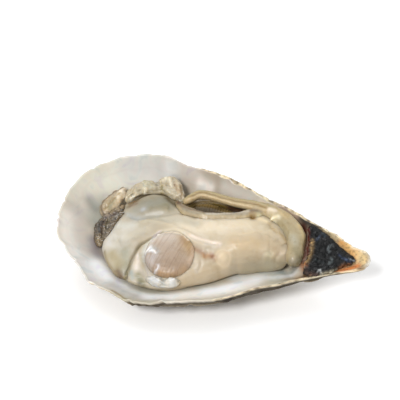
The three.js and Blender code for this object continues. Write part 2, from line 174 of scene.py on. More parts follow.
FLARE_LAYER, FLARE_PLACE, FLARE_LENGTH, FLARE_LIFT = 23, (-27.5, -28), 5.0, 1.1
NACRE_RINGS = [(0.03, 0.86, 34), (0.875, 0.955, 9), (0.962, 1, 11)]  # from, to and how many
BARE_DROP = 0.3  # how far the bare edge lies below the nacre
CHIPS = [(0.22, 1.3, 3.1), (0.35, 4.5, 8.2)]  # height and length of the waves, and a seed


def on_table(points):
    """Points of the shell's own frame, in mm, as they lie on the table, in metres."""
    return (np.asarray(points, float) - BELLY_SPOT) @ TO_TABLE.T * MM


def in_shell(points):
    """Points on the table, in metres, in the shell's own frame, in mm."""
    return np.asarray(points, float) / MM @ TO_TABLE + BELLY_SPOT


def curve_through(points, count, closed=False):
    """Evenly spaced points of a centripetal Catmull-Rom curve."""
    points = np.asarray(points, float)
    if closed:
        points = np.vstack([points[-1:], points, points[:2]])
    else:
        points = np.vstack([2 * points[0] - points[1], points, 2 * points[-1] - points[-2]])
    t = np.linspace(0, 1, 30, endpoint=False)[:, None]
    stretches = []
    for a, b, c, d in zip(points, points[1:], points[2:], points[3:]):
        ab, bc, cd = (np.linalg.norm(q[:3] - p[:3]) ** 0.5 for p, q in ((a, b), (b, c), (c, d)))
        leave = bc * ((b - a) / ab - (c - a) / (ab + bc) + (c - b) / bc)
        arrive = bc * ((c - b) / bc - (d - b) / (bc + cd) + (d - c) / cd)
        stretches.append(
            b * (2 * t**3 - 3 * t**2 + 1)
            + leave * (t**3 - 2 * t**2 + t)
            + c * (3 * t**2 - 2 * t**3)
            + arrive * (t**3 - t**2)
        )
    line = np.vstack(stretches + [points[-2:-1]])
    length = np.concatenate([[0], np.cumsum(np.linalg.norm(np.diff(line[:, :3], axis=0), axis=1))])
    wanted = np.linspace(0, length[-1], count, endpoint=not closed)
    return np.stack([np.interp(wanted, length, line[:, k]) for k in range(line.shape[1])], 1)


def smooth(t):
    """From 0 to 1 with a soft start and end."""
    t = np.clip(t, 0, 1)
    return t * t * (3 - 2 * t)


def grain(points, size, seed=0.0):
    """Smooth noise between about -1 and 1 at each of the points, with lumps of the given size."""
    flat = np.asarray(points, float).reshape(-1, 3) / size + seed
    values = [noise.noise(Vector(p)) for p in flat]
    return np.array(values).reshape(np.asarray(points).shape[:-1])


def grains(points, kinds):
    """Grain of several kinds, added up. Each is height, size and seed."""
    return sum(height * grain(points, size, seed) for height, size, seed in kinds)


def apart(points, place):
    """How far points are from a place, as seen from above."""
    return np.hypot(points[:, 0] - place[0], points[:, 1] - place[1])


def coordinates(piece, what="co"):
    """The vertices of a piece, in metres, or their normals."""
    values = np.empty(len(piece.data.vertices) * 3)
    if what == "co":
        piece.data.vertices.foreach_get("co", values)
    else:
        piece.data.vertex_normals.foreach_get("vector", values)
    return values.reshape(-1, 3)


def move(piece, co):
    """Puts the vertices of a piece at these places, in metres."""
    piece.data.vertices.foreach_set("co", np.asarray(co).ravel())
    piece.data.update()


rim = curve_through(RIM, COLUMNS, closed=True)
from_centre = rim[:, :2] - BOWL_CENTRE
rim_angle = np.arctan2(from_centre[:, 1], from_centre[:, 0])
rim_radius = apart(rim, BOWL_CENTRE)


def bowl(x, y):
    """Height of the bowl before the hinge plate, and how far out the place is, from 0 to 1 at the rim."""
    angle = np.arctan2(y - BOWL_CENTRE[1], x - BOWL_CENTRE[0])
    whole = np.interp(angle, rim_angle, rim_radius, period=2 * pi)
    share = np.hypot(x - BOWL_CENTRE[0], y - BOWL_CENTRE[1]) / whole
    rim_height = np.interp(angle, rim_angle, rim[:, 2], period=2 * pi)
    depth = BOWL_DEPTH + BACK_DEEPER * y
    return rim_height * share**2 - depth * (1 - np.minimum(share, 1) ** BOWL_POWER), share


def inside_height(x, y):
    """The shell's inside: the bowl, with the hinge plate blended into it."""
    plate = PLATE_HEIGHT - PLATE_DROP * smooth((PLATE_START - x) / PLATE_SLOPE)
    floor = bowl(x, y)[0]
    blend = np.clip(0.5 + (floor - plate) / PLATE_BLEND, 0, 1)
    return plate + (floor - plate) * blend + PLATE_BLEND / 2 * blend * (1 - blend)


def outside_height(x, y):
    """The shell's outside, before its layers: thick in the middle and thin at the rim."""
    height, share = bowl(x, y)
    inward = 1 - np.minimum(share, 1) ** 2
    return height - WALL_AT_RIM - (WALL_IN_MIDDLE - WALL_AT_RIM) * inward


def outwards(x, y, step=1.0):
    """The way straight out of the shell at a place on its outside."""
    slope_x = (outside_height(x + step, y) - outside_height(x - step, y)) / (2 * step)
    slope_y = (outside_height(x, y + step) - outside_height(x, y - step)) / (2 * step)
    way = np.stack([slope_x, slope_y, -np.ones_like(slope_x)], -1)
    return way / np.linalg.norm(way, axis=-1, keepdims=True)


# The edge is chipped: small bites and waves a millimetre or two long, more of them at the tip and in front.
chips = grains(rim, CHIPS)
chips -= 0.5 * smooth((grain(rim, 2.4, 5.5) - 0.25) / 0.3)
chips += 0.5 * grain(rim, 1.1, 4.2) * smooth((rim[:, 0] - 41) / 4)
chips += 0.5 * grain(rim, 1.6, 6.3) * smooth((-rim[:, 1] - 19) / 4)
edge_way = from_centre / rim_radius[:, None]
rim_edge = rim.copy()
rim_edge[:, :2] += edge_way * chips[:, None]
rim_edge[:, 2] += 0.25 * grain(rim, 3.0, 1.7)

# The nacre stops short of the edge, most of all at the right, in front and at the back.
back_right = smooth((rim[:, 0] + 9) / 14) * smooth(rim[:, 1] / 6)
front_right = smooth((rim[:, 0] - 14) / 14) * smooth(-rim[:, 1] / 6)
band = 0.3 + 0.4 * back_right + 0.9 * front_right + (0.15 + 0.5 * back_right) * grain(rim, 3.4, 6.6)
band = np.maximum(band, 0.12)

rows, detail_rows = [], []


def drawn_to(centre, share):
    """The rim's x and y, drawn in towards a centre to a share of its size."""
    return [centre[k] + (rim[:, k] - centre[k]) * share for k in (0, 1)]


def inside_rows():
    """The nacre, ring by ring, from the middle of the bowl to the edge."""
    for share in np.concatenate([np.linspace(*part) for part in NACRE_RINGS]):
        x, y = drawn_to(BOWL_CENTRE, share)
        row = np.stack([x, y, inside_height(x, y)], 1)
        row[:, :2] += edge_way * (chips * share**14)[:, None]
        row[:, 2] += (rim_edge[:, 2] - rim[:, 2]) * share**10
        to_edge = (1 - share) * rim_radius
        bare = smooth((band - to_edge) / 0.25 + 0.5)
        row[:, 2] -= BARE_DROP * bare
        row[:, 2] += 0.12 * grain(row, 7.0) * smooth(to_edge / 2)
        rows.append(row)
        detail_rows.append(np.stack([bare, to_edge, np.zeros(COLUMNS)], 1))


def outside_rows():
    """The layers, ring by ring, from the edge back to the beak. Each ends in a free lip over the next."""
    reach = np.minimum(1, apart(rim, BEAK) / FULL_LIFT)
    growth = (np.arange(LAYERS + 1) / LAYERS) ** LAYER_CROWDING
    edges = FIRST_LAYER + (LAST_LAYER - FIRST_LAYER) * growth
    # Each edge waves in two lengths and has bites out of it. Its lip stands off further in some places.
    waves, lifts = [], []
    for layer, edge in enumerate(edges):
        at_edge = np.stack([*drawn_to(BEAK, edge), rim[:, 2]], 1)
        wave = grains(at_edge, [(0.34, 9.0, 3.7 * layer), (0.16, 3.0, 9.1 + layer)])
        wave -= 0.45 * smooth((grain(at_edge, 5.0, 20 + 1.3 * layer) - 0.12) / 0.25)
        waves.append((edges[1] - edges[0]) * wave * (layer < LAYERS))
        lift = 0.55 + grains(at_edge, [(1.1, 11.0, 40 + 2.3 * layer), (0.5, 3.5, 60 + layer)])
        lifts.append(LAYER_LIFT * reach * np.clip(lift, 0.1, 1.6))
    # One fresh lamella stands out under the front left of the edge. The others lie closer in front.
    flare = np.exp(-((apart(rim, FLARE_PLACE) / FLARE_LENGTH) ** 4))
    in_front = smooth((-rim[:, 1] - 8) / 8)
    for layer in range(FLARE_LAYER - 2, LAYERS + 1):
        lifts[layer] *= 1 - 0.6 * in_front
    lifts[FLARE_LAYER] += FLARE_LIFT * flare

    def ring(share, lift, layer, phase, lip, deep):
        x, y = drawn_to(BEAK, share)
        row = np.stack([x, y, outside_height(x, y)], 1)
        row += outwards(x, y) * (lift * np.ones(COLUMNS))[:, None]
        row[:, :2] += edge_way * (chips * np.mean(share) ** 14)[:, None]
        rows.append(row)
        detail_rows.append(np.tile([layer + phase, lip, deep], (COLUMNS, 1)))

    for layer in range(LAYERS, 0, -1):
        older, newer = edges[layer - 1] + waves[layer - 1], edges[layer] + waves[layer]
        lift = lifts[layer] if layer < LAYERS else 0.4 * lifts[layer]
        if layer < LAYERS:
            ring(newer, lift - LAYER_THICKNESS, layer, 1.0, 0.7, 0.6)
        ring(newer, lift, layer, 1.0, 1.0, 0.0)
        for phase, rise in ((0.9, 0.78), (0.7, 0.42), (0.4, 0.16)):
            ring(older + (newer - older) * phase, lift * rise, layer, phase, phase**4, 0.1)
        ring(older - 0.25 * (newer - older), 0.0, layer, 0.0, 0.0, 1.0)
    ring(0.55 * FIRST_LAYER, 0.3, 0, 0.5, 0.2, 0.2)


inside_rows()
inside_count = len(rows)
outside_rows()

sphere = {"segments": COLUMNS, "ring_count": len(rows) + 1, "radius": 1}
shell = primitive("shell_valve", bpy.ops.mesh.primitive_uv_sphere_add, **sphere)


def press_sphere(piece, surface, poles):
    """Moves a UV sphere's rings onto the rows of surface. Returns each vertex's row, column and place."""
    co = coordinates(piece)
    row = np.rint(np.arccos(np.clip(co[:, 2], -1, 1)) / pi * (len(surface) + 1)).astype(int)
    column = np.rint(np.arctan2(co[:, 1], co[:, 0]) / (2 * pi) * COLUMNS).astype(int) % COLUMNS
    first, last = (np.tile(pole, (1, COLUMNS, 1)) for pole in poles)
    place = np.concatenate([first, surface, last])[row, column]
    move(piece, on_table(place))
    return row, column, place


bowl_pole = [*BOWL_CENTRE, inside_height(BOWL_CENTRE[0] + 0.01, BOWL_CENTRE[1])]
beak_pole = [*BEAK, outside_height(*BEAK) - 0.3]
row, column, place = press_sphere(shell, np.array(rows), (bowl_pole, beak_pole))
co = coordinates(shell)
co[:, 2] = np.maximum(co[:, 2], 0)  # the lips under the belly are worn flat where it rests
move(shell, co)


def add_attributes(piece, **named):
    """Stores numbers or colours at each vertex, under their names."""
    for name, values in named.items():
        values = np.asarray(values, float)
        if values.ndim == 1:
            piece.data.attributes.new(name, "FLOAT", "POINT").data.foreach_set("value", values)
        else:
            four = np.concatenate([values[:, :3], np.ones((len(values), 1))], 1).ravel()
            piece.data.attributes.new(name, "FLOAT_COLOR", "POINT").data.foreach_set("color", four)


FAR_OFF = 99.0  # what stands for out of reach


def near_line(points, line, reach):
    """How far points are from a line, as seen from above, and how far along it that is, from 0 to 1."""
    line = np.asarray(line, float)[:, :2]
    if len(line) > 2:
        line = curve_through(np.c_[line, np.zeros(len(line))], 5 * len(line))[:, :2]
    if len(line) == 1:
        line = np.repeat(line, 2, 0)
    gap, along = np.full(len(points), FAR_OFF), np.zeros(len(points))
    low, high = line.min(0) - reach, line.max(0) + reach
    close = np.flatnonzero(np.all((points[:, :2] > low) & (points[:, :2] < high), axis=1))
    here = points[close, :2]
    for number, (start, end) in enumerate(zip(line, line[1:])):
        way = end - start
        t = np.clip((here - start) @ way / max(way @ way, 1e-9), 0, 1)
        distance = np.linalg.norm(here - start - t[:, None] * way, axis=1)
        nearer = distance < gap[close]
        gap[close[nearer]] = distance[nearer]
        along[close[nearer]] = (number + t[nearer]) / (len(line) - 1)
    return gap, along


def mixed(under, over, amount):
    """Colours with others over them, by amounts from 0 to 1. Each is a hex colour or one for each point."""
    under, over = (np.array(linear(c)[:3]) if isinstance(c, str) else c for c in (under, over))
    return under * (1 - amount[:, None]) + over * amount[:, None]


def painted(points, base, strokes):
    """A colour at each point: base, with soft strokes over it. A stroke is colour, width, strength, line."""
    colours = base
    for hex_colour, width, strength, line in strokes:
        gap, _ = near_line(points, line, 3 * width)
        colours = mixed(colours, hex_colour, strength * np.exp(-((gap / width) ** 2)))
    return colours


detail = np.array(detail_rows)
facts = np.concatenate([detail[:1] * 0, detail, detail[:1] * 0])[row, column]
is_inside = row <= inside_count

# Milky white with cool grey clouds, a violet stain by the meat's left end and warmer towards the hinge. Some
# strokes are painted shade, light or reflection, each marked.
NACRE_STROKES = [
    ("dfe0d8", 9, 0.5, [(-46, 12), (-30, 27)]),
    ("c4b9ae", 6, 0.7, [(-44, 8), (-45, -4)]),
    # Grey beside the ear's left edge: painted shade.
    ("7f867d", 4, 0.6, [(-40, 10), (-41, 3)]),
    ("6e736f", 2.0, 0.6, [(-44.5, 9.5), (-42.6, 7.6)]),
    ("716870", 2.6, 0.85, [(-39.6, -5), (-38.4, -9), (-36.9, -10.6)]),
    ("c9c8c8", 4.5, 0.85, [(-44, -14), (-38, -19), (-33, -23)]),
    ("aea7a2", 3.4, 0.7, [(-47.4, 3), (-46.6, -3), (-43, -9)]),
    # Whiter and bluer along the front strip: the nacre's own white, raised further with painted light.
    ("eceff7", 3.2, 0.8, [(-36, -15.4), (-31, -19.5), (-26, -22.5)]),
    ("eaebed", 2.2, 0.8, [(-22, -24.5), (-16, -24.6), (-10, -23.4), (-4, -21), (2, -18.4)]),
    ("f7f7f5", 3.0, 0.7, [(-20, 27), (-12, 25.6)]),
    # Grey on the nacre next to the belly's lower left edge: painted shadow.
    ("a5a39f", 2.6, 0.7, [(-29, -22), (-25.6, -24), (-20.6, -25.6)]),
    # More painted light on the front strip.
    ("edeef6", 2.0, 0.6, [(-17, -26), (-9, -24.6)]),
    ("604531", 7, 0.5, [(-15, 26), (5, 21)]),
    ("7c5c38", 6, 0.6, [(20, 15), (31, 10)]),
    ("d6dade", 2.1, 0.85, [(9.6, -10), (14, -9.4), (18, -8.4), (21.4, -9.2), (25, -8.6), (28.4, -7.8)]),
    # Whiter along the strip under the belly's lower edge: painted light.
    ("f7f7f7", 3.4, 0.7, [(-8, -25), (4, -20.6), (16, -15)]),
    ("eef4ff", 2.6, 0.9, [(2, -18.6), (9.4, -15.4), (17, -11)]),
    # Blue-grey line under the belly's right end: painted reflection.
    ("b2c0c6", 1.2, 0.5, [(19, -6), (25, -5.4)]),
    ("8c7a64", 2.2, 0.6, [(28, -12), (33, -9)]),
    # Tan where the nacre shows in the gap under the ear: painted shade.
    ("c0ae94", 1.3, 0.8, [(-34.6, 14.8), (-32.6, 12.4), (-30.6, 10.8)]),
    ("a8a6a8", 5, 0.6, [(-34, 25), (-24, 26)]),
    ("e1ded9", 3, 0.7, [(-50, -1), (-48, -8), (-44, -14)]),
    ("bfbcb7", 2.2, 0.7, [(0, 22), (5, 20.4), (10, 18.2)]),
    ("e6e0dc", 1.6, 0.7, [(-9, 23.4), (-5, 22)]),
    ("e1d0c0", 1.4, 0.7, [(13, 17.4), (19, 14.6)]),
    # Grey-olive under the wrap's end: painted shadow.
    ("8a9088", 1.1, 0.5, [(25.4, -6.3), (27.4, -6.5), (29.4, -6)]),
    # Brown line just inside the lamella's cream edge: painted shadow under its overhang.
    ("998662", 0.45, 0.9, [(-28.2, -26.2), (-26, -26.9), (-24.1, -28.3), (-22.6, -28.9)]),
    ("aca58d", 0.35, 0.95, [(-31.4, -26.6), (-28.8, -27.2), (-26.5, -28), (-24, -29.4), (-22, -30.1)]),
]
# The hinge plate and its tip: horn brown and tan with cream edges, and a dark red brink above the bowl.
HINGE_STROKES = [
    ("7c6a4e", 3.0, 0.8, [(31, 11), (36, 9)]),
    ("8d8264", 1.4, 0.8, [(37, 9.4), (41, 7)]),
    ("bfae88", 1.1, 0.9, [(40, 7.4), (43.4, 5.2), (46.4, 3.4)]),
    ("c4904e", 0.9, 0.9, [(42.6, 4.4), (44.4, 3.2), (46.8, 1.6), (48.4, 0.2)]),
    ("d9b070", 1.1, 0.8, [(45.4, 3.2), (48, 1.8)]),
    ("efe2cc", 0.6, 0.9, [(46.8, 3), (48.4, 2.6), (50, 1.9), (51.6, 1.2)]),
    ("ddd3b8", 0.45, 0.85, [(36, 9.6), (40, 7.6), (43.6, 5.2)]),
    ("dfc08c", 1.4, 0.9, [(49.4, 0.6), (51, -0.6), (51.4, -2)]),
    ("d9b684", 0.7, 0.7, [(48.6, 1.2), (49.2, -0.6), (49, -2.2)]),
    ("d9d6cf", 0.9, 0.9, [(53.4, 0.4), (53.6, -1.4), (52.8, -3.4)]),
    ("cf7a3a", 0.9, 0.95, [(43, -6.6), (45.6, -5.4), (48, -4.2), (49.4, -3.4)]),
    ("f1dab6", 0.6, 0.9, [(43.4, -7.5), (46.4, -6.5), (49, -5.3)]),
    ("6f4a26", 1.8, 0.85, [(31, -11.6), (36, -10.2), (40, -8.8)]),
    ("cdbd97", 0.6, 0.85, [(29, -13.6), (35, -11.3), (40, -9.3), (43, -7.9)]),
]
HINGE_BRINK = [(29.2, 10.6), (29.7, 9), (30, 7.2), (30.8, 4), (31.4, 0.5), (31.4, -2.8), (30.9, -4.8)]
INNER_HINGE_STROKES = [
    ("451408", 1.5, 0.98, HINGE_BRINK),
    # Nearly black along the plate's upper left edge, beside the meat: painted shade.
    ("1c1815", 1.2, 0.98, [(28.2, 12.6), (31, 11), (34, 10.2)]),
    ("63421a", 1.1, 0.95, [(31.8, -5.4), (32.4, -7.4), (33, -9)]),
    ("a8683a", 0.45, 0.8, [(31.4, -5.6), (31.9, -7.6)]),
    ("6a4c22", 1.1, 0.85, [(31, -11.6), (33, -10.5), (35.6, -10)]),
    ("4a3a28", 0.8, 0.8, [(32.6, -10.6), (37, -10.4), (40.5, -8.9)]),
]
HINGE_START, HINGE_FADE = 31, 2.5
nacre_tint = painted(place, "b7b0a0", NACRE_STROKES)
hinge = painted(place, "8d7657", HINGE_STROKES)
hinge_amount = smooth((place[:, 0] - HINGE_START - 2.0 * grain(place, 4, 2)) / HINGE_FADE)
nacre_tint = mixed(nacre_tint, hinge, hinge_amount)
nacre_tint = painted(place, nacre_tint, INNER_HINGE_STROKES)

# Beyond the nacre the edge is bare: brown and cream flakes, but hardly any at the left and on the hinge tip.
PEARLY_EDGE = [
    (-14, 27), (-36, 27.5), (-50, 14), (-52, -5), (-44, -17), (-33, -26), (-20, -30), (-6, -28), (2, -26),
]
TIP_START = 44
flake = smooth(1.6 * (0.5 + 0.5 * grain(place, 1.8, 7)) - 0.1)
pearly_edge, _ = near_line(place, PEARLY_EDGE, reach=8)
bare_amount = facts[:, 0] * is_inside * (1 - 0.96 * smooth((5 - pearly_edge) / 3))
bare_amount[place[:, 0] > TIP_START] *= 0.1
nacre_tint = mixed(nacre_tint, mixed("5a4830", "e0d2b4", flake), bare_amount)

# Colours over the outside layers: nearly black under the edge where it overhangs, which is painted shade, and
# dull gold under the lamella, partly painted shade.
EDGE_STROKES = [
    ("2c2319", 2.0, 0.85, [(-23, -29.6), (-17.5, -30.2), (-7.5, -28.7), (3.5, -26.2), (10.5, -23.2)]),
    ("2a2118", 2.6, 0.85, [(10.5, -23.2), (18, -18.3), (25, -15.3), (34, -11.2), (42, -8)]),
    ("a4987a", 1.3, 0.85, [(-28.4, -27.8), (-26, -28.8), (-24.2, -29.6)]),
]
over, under = painted(place, "000000", EDGE_STROKES), painted(place, "ffffff", EDGE_STROKES)
add_attributes(
    shell,
    tint=np.where(is_inside[:, None], nacre_tint, over),
    keep=under[:, 0] - over[:, 0],
    margin=np.where(is_inside, facts[:, 1], 0),
    growth=np.where(is_inside, LAYERS + 1, facts[:, 0]),
    lip=np.where(is_inside, 0, facts[:, 1]),
    deep=np.where(is_inside, 0, facts[:, 2]),
    rough_edge=np.maximum(bare_amount, hinge_amount),
)


def patterned(tree, colour, patterns):
    """A colour with patterns multiplied into it. Each is a value, a strength and tones from low to high."""
    for value, strength, tones in patterns:
        tone = add_node(tree, "ValToRGB", {"Fac": value}, stops=tones)
        inputs = {0: strength, 6: colour, 7: tone}
        colour = add_node(tree, "Mix", inputs, 2, data_type="RGBA", blend_type="MULTIPLY")
    return colour


# Nacre: stacked aragonite tiles under a film of sea water. Satin, slightly translucent, faint rainbow.
nacre, tree, shader = new_material("wet_nacre")
position = add_node(tree, "TexCoord", out="Object")
tint = add_node(tree, "Attribute", attribute_name="tint")
rough_edge, margin = (
    add_node(tree, "Attribute", out="Fac", attribute_name=name) for name in ("rough_edge", "margin")
)
clouds = {"Vector": position, "Scale": 1 / (16 * MM), "Detail": 3.0, "Distortion": 0.4}
sheen = {"Vector": position, "Scale": 1 / (6 * MM), "Detail": 2.0, "Distortion": 0.8}
bent = add_node(tree, "TexNoise", {"Vector": position, "Scale": 1 / (9 * MM), "Detail": 2.0})
ring_place = add_node(tree, "Math", {0: bent, 1: 7.0, 2: margin}, operation="MULTIPLY_ADD")
lines = add_node(tree, "TexNoise", {"W": ring_place, "Scale": 0.45, "Detail": 1.0}, noise_dimensions="1D")
fine = add_node(tree, "TexNoise", {"Vector": position, "Scale": 1 / (0.9 * MM), "Detail": 5.0})
crumb_amount = add_node(tree, "Math", {0: rough_edge, 1: 0.4}, operation="MULTIPLY")
PEARL_TONES = [(0.32, "d5e4e6"), (0.42, "fbfff6"), (0.5, "fff3ea"), (0.58, "f6fbf0"), (0.68, "e6dcea")]
patterns = [
    (add_node(tree, "TexNoise", clouds), 0.3, [(0.3, "c6c5c4"), (0.5, "ffffff"), (0.72, "fff8ee")]),
    (add_node(tree, "TexNoise", sheen), 0.4, PEARL_TONES),
    (lines, 0.2, [(0.2, "dcd9d6"), (0.5, "ffffff"), (0.8, "fffdf8")]),
    (fine, crumb_amount, [(0.36, "6a5b48"), (0.5, "ffffff"), (0.7, "fff2dd")]),
]
ripple = add_node(tree, "TexNoise", {"Vector": position, "Scale": 1 / (3 * MM), "Detail": 2.0})
ripples = add_node(tree, "Bump", {"Height": ripple, "Strength": 0.15, "Distance": 0.3 * MM})
crumbs = {"Height": fine, "Strength": rough_edge, "Distance": 0.5 * MM, "Normal": ripples}
nacre_looks = {
    "Base Color": patterned(tree, tint, patterns),
    "Roughness": add_node(tree, "MapRange", {"Value": rough_edge, "To Min": 0.3, "To Max": 0.7}),
    "Subsurface Weight": 0.2,
    "Subsurface Radius": (1.0, 0.9, 0.8),
    "Subsurface Scale": 1.5 * MM,
    "Coat Weight": 0.25,
    "Coat Roughness": 0.2,
    "Normal": add_node(tree, "Bump", crumbs),
}
set_inputs(tree, shader, nacre_looks)

# Prismatic layers: matt and chalky, stained by mud and algae, brown and ochre with grey and cream edges.
layers, tree, shader = new_material("weathered_prismatic_layers_and_painted_shade")
position = add_node(tree, "TexCoord", out="Object")
tint = add_node(tree, "Attribute", attribute_name="tint")
growth, lip, deep, keep = (
    add_node(tree, "Attribute", out="Fac", attribute_name=name) for name in ("growth", "lip", "deep", "keep")
)
STAINS = [
    (0.35, "33291c"), (0.43, "66502f"), (0.49, "927a50"), (0.54, "8d8676"), (0.59, "b5ac9c"),
    (0.67, "ded7c8"),
]
broad = {"Vector": position, "Scale": 1 / (11 * MM), "Detail": 5.0, "Distortion": 1.0}
stain = add_node(tree, "ValToRGB", {"Fac": add_node(tree, "TexNoise", broad)}, stops=STAINS)
rings = add_node(tree, "TexNoise", {"W": growth, "Scale": 3.0, "Detail": 4.0}, noise_dimensions="1D")
wobbles = {"Vector": position, "Scale": 1 / (4 * MM), "Detail": 6.0, "Roughness": 0.65}
wobble = add_node(tree, "TexNoise", wobbles)
ring_tone = add_node(tree, "Mix", {0: 0.5, 2: rings, 3: wobble}, data_type="FLOAT")
colour = patterned(tree, stain, [(ring_tone, 0.8, [(0.36, "6b5a45"), (0.5, "d8cdbb"), (0.64, "fff6e4")])])
# Paler on each lip; darker in the recess under each lip, which is painted shade.
for where, strength, hex_colour in ((lip, 0.6, "c4b595"), (deep, 0.85, "2d2217")):
    amount = add_node(tree, "Math", {0: where, 1: strength}, operation="MULTIPLY")
    colour = add_node(tree, "Mix", {0: amount, 6: colour, 7: linear(hex_colour)}, 2, data_type="RGBA")
kept = add_node(tree, "VectorMath", {0: colour, "Scale": keep}, operation="SCALE")
layer_looks = {
    "Base Color": add_node(tree, "VectorMath", {0: kept, 1: tint}, operation="ADD"),
    "Roughness": 0.72,
    "Normal": add_node(tree, "Bump", {"Height": wobble, "Strength": 0.7, "Distance": 0.8 * MM}),
}
set_inputs(tree, shader, layer_looks)

for material in (nacre, layers):
    shell.data.materials.append(material)
for face in shell.data.polygons:
    face.material_index = 0 if max(row[v] for v in face.vertices) <= inside_count else 1
    face.use_smooth = True
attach(shell, "root")
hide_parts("shell")

# ---------------------------------------------------------------- body
# The belly with its left mantle lobe and the grey dome over the gills: one
# soft wet skin, full of sea water. It lies in the shell and only the muscle
# holds it. Cream over the belly, grey and olive where the gills show through.
def clay(name, node, voxel, relax, swell=0.12):
    """A fine, relaxed copy of a solid, to be modelled like clay. voxel and swell are in mm."""
    piece = bpy.data.objects.new(name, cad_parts[node].data.copy())
    piece.data.name = name
    piece.data.materials.clear()
    bpy.context.collection.objects.link(piece)
    deselect_all()
    piece.select_set(True)
    bpy.context.view_layer.objects.active = piece
    bpy.ops.object.mode_set(mode="EDIT")
    bpy.ops.mesh.select_all(action="SELECT")
    bpy.ops.mesh.remove_doubles(threshold=0.01 * MM)
    bpy.ops.object.mode_set(mode="OBJECT")
    remesh = piece.modifiers.new("remesh", "REMESH")
    remesh.mode, remesh.voxel_size = "VOXEL", voxel * MM
    bpy.ops.object.modifier_apply(modifier=remesh.name)
    even = piece.modifiers.new("relax", "SMOOTH")
    even.factor, even.iterations = 0.5, relax
    bpy.ops.object.modifier_apply(modifier=even.name)
    move(piece, coordinates(piece) + coordinates(piece, "normal") * swell * MM)
    for face in piece.data.polygons:
        face.use_smooth = True
    return piece


STROKE_TAPER = 0.12  # share of its length over which each end of a stroke fades


def stroke(points, line, width, power=2):
    """How much of a soft stroke reaches each point, from 0 to 1."""
    gap, along = near_line(points, line, 4 * width)
    amount = np.exp(-((gap / width) ** power))
    if len(line) > 2:
        amount *= smooth(along / STROKE_TAPER + 0.15) * smooth((1 - along) / STROKE_TAPER + 0.15)
    return amount


def modelled(piece, strokes, rough=()):
    """Raises or presses the side that looks up. Strokes are height, width, line; rough is height and size."""
    points = in_shell(coordinates(piece))
    normals = coordinates(piece, "normal")
    looks_up = smooth((normals @ TO_TABLE[:, 2] + 0.1) / 0.5)
    lift = sum(height * stroke(points, line, width, *power) for height, width, line, *power in strokes)
    seeded = [(height, size, 11.3 * number + 2.2) for number, (height, size) in enumerate(rough)]
    lift += grains(points, seeded)
    move(piece, coordinates(piece) + normals * (lift * looks_up)[:, None] * MM)


SETTLE_CLEAR = 0.05 * MM  # the film of water left between two pieces
SETTLE_GRIP = 1.8  # above 1, the nearest part of what is within reach is drawn up all the way
skins = {}  # the finished surfaces of the pieces that others lie against


def settle(piece, others, reach=0.9 * MM):
    """Lets wet flesh lie against its neighbours: what is nearly touching is drawn up to a hair from them."""
    co = coordinates(piece)
    for other in others:
        if other.name not in skins:
            faces = [face.vertices[:] for face in other.data.polygons]
            skins[other.name] = BVHTree.FromPolygons(coordinates(other).tolist(), faces)
        for number, place in enumerate(co):
            touched, _, _, distance = skins[other.name].find_nearest(place, reach)
            if touched is None or distance <= SETTLE_CLEAR:
                continue
            share = (1 - SETTLE_CLEAR / distance) * smooth(SETTLE_GRIP * (1 - distance / reach))
            co[number] += (np.array(touched) - place) * share
    move(piece, co)
    return in_shell(co)


def dress(piece, tint, material, node):
    """Paints a piece, gives it its material, hangs it under the root and hides the solid it stands for."""
    add_attributes(piece, tint=tint)
    piece.data.materials.append(material)
    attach(piece, "root")
    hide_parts(node)


def wet_flesh(
    name,
    roughness=0.42,
    glow=0.6,
    coat=0.25,
    mottle=0.45,
    mottle_size=3.0,
    bump=0.12,
    bump_size=1.4,
    darkest="ded3ba",
):
    """Living flesh under a film of sea water: light goes in and comes out soft, and the film glints."""
    made, tree, shader = new_material(name)
    position = add_node(tree, "TexCoord", out="Object")
    tint = add_node(tree, "Attribute", attribute_name="tint")
    blotch = add_node(tree, "TexNoise", {"Vector": position, "Scale": 1 / (mottle_size * MM), "Detail": 5.0})
    tones = [(0.3, darkest), (0.5, "ffffff"), (0.7, "fffaf0")]
    swell = add_node(tree, "TexNoise", {"Vector": position, "Scale": 1 / (bump_size * MM), "Detail": 3.0})
    wet = add_node(tree, "Bump", {"Height": swell, "Strength": 1.0, "Distance": bump * MM})
    looks = {
        "Base Color": patterned(tree, tint, [(blotch, mottle, tones)]),
        "Roughness": roughness,
        "Normal": wet,
        "Subsurface Weight": glow,
        "Subsurface Radius": (1.0, 0.8, 0.55),
        "Subsurface Scale": 2.6 * MM,
        "Coat Weight": coat,
        "Coat Roughness": 0.15,
        "Coat Normal": wet,
    }
    set_inputs(tree, shader, looks)
    return made


# Lines on the belly that strokes of shape and colour share, in the shell's own frame.
GROOVE = [
    (-26, -20), (-25.2, -18.1), (-24.8, -15.9), (-24.4, -12.9), (-23.8, -10.2), (-22.7, -7.6), (-20.7, -5.9),
    (-19, -4.5), (-17.3, -3), (-16.1, -2.1),
]
BAND = [
    (-25.9, 0.2), (-22.3, 1.9), (-17.9, 1.5), (-13.3, 0.2), (-9.4, -2), (-5.5, -4.2), (-1.9, -5.6),
    (1.7, -6.5),
]
OVER_MUSCLE = [(-17.5, -2.1), (-13.9, -1.2), (-9.5, -1.3), (-5.8, -2.7), (-3, -4.2), (1, -5.3)]
DOME_FOOT = [(-30.2, 5.1), (-26.2, 3.6), (-22.9, 4.2), (-19.6, 4.9), (-15.9, 6), (-12.3, 7.3), (-9.8, 5.9)]
DOME_TOP = [
    (-31.2, 9.4), (-29.6, 11.7), (-28.1, 14), (-25.4, 15.4), (-22.4, 15.8), (-19.1, 15.2), (-15.7, 13.4),
    (-12.4, 9.7), (-9.7, 7.1), (-6.7, 5.4),
]
LOBE_EDGE = [(-34.6, -10.2), (-32.7, -14), (-29.8, -17.1), (-27.1, -19.6)]
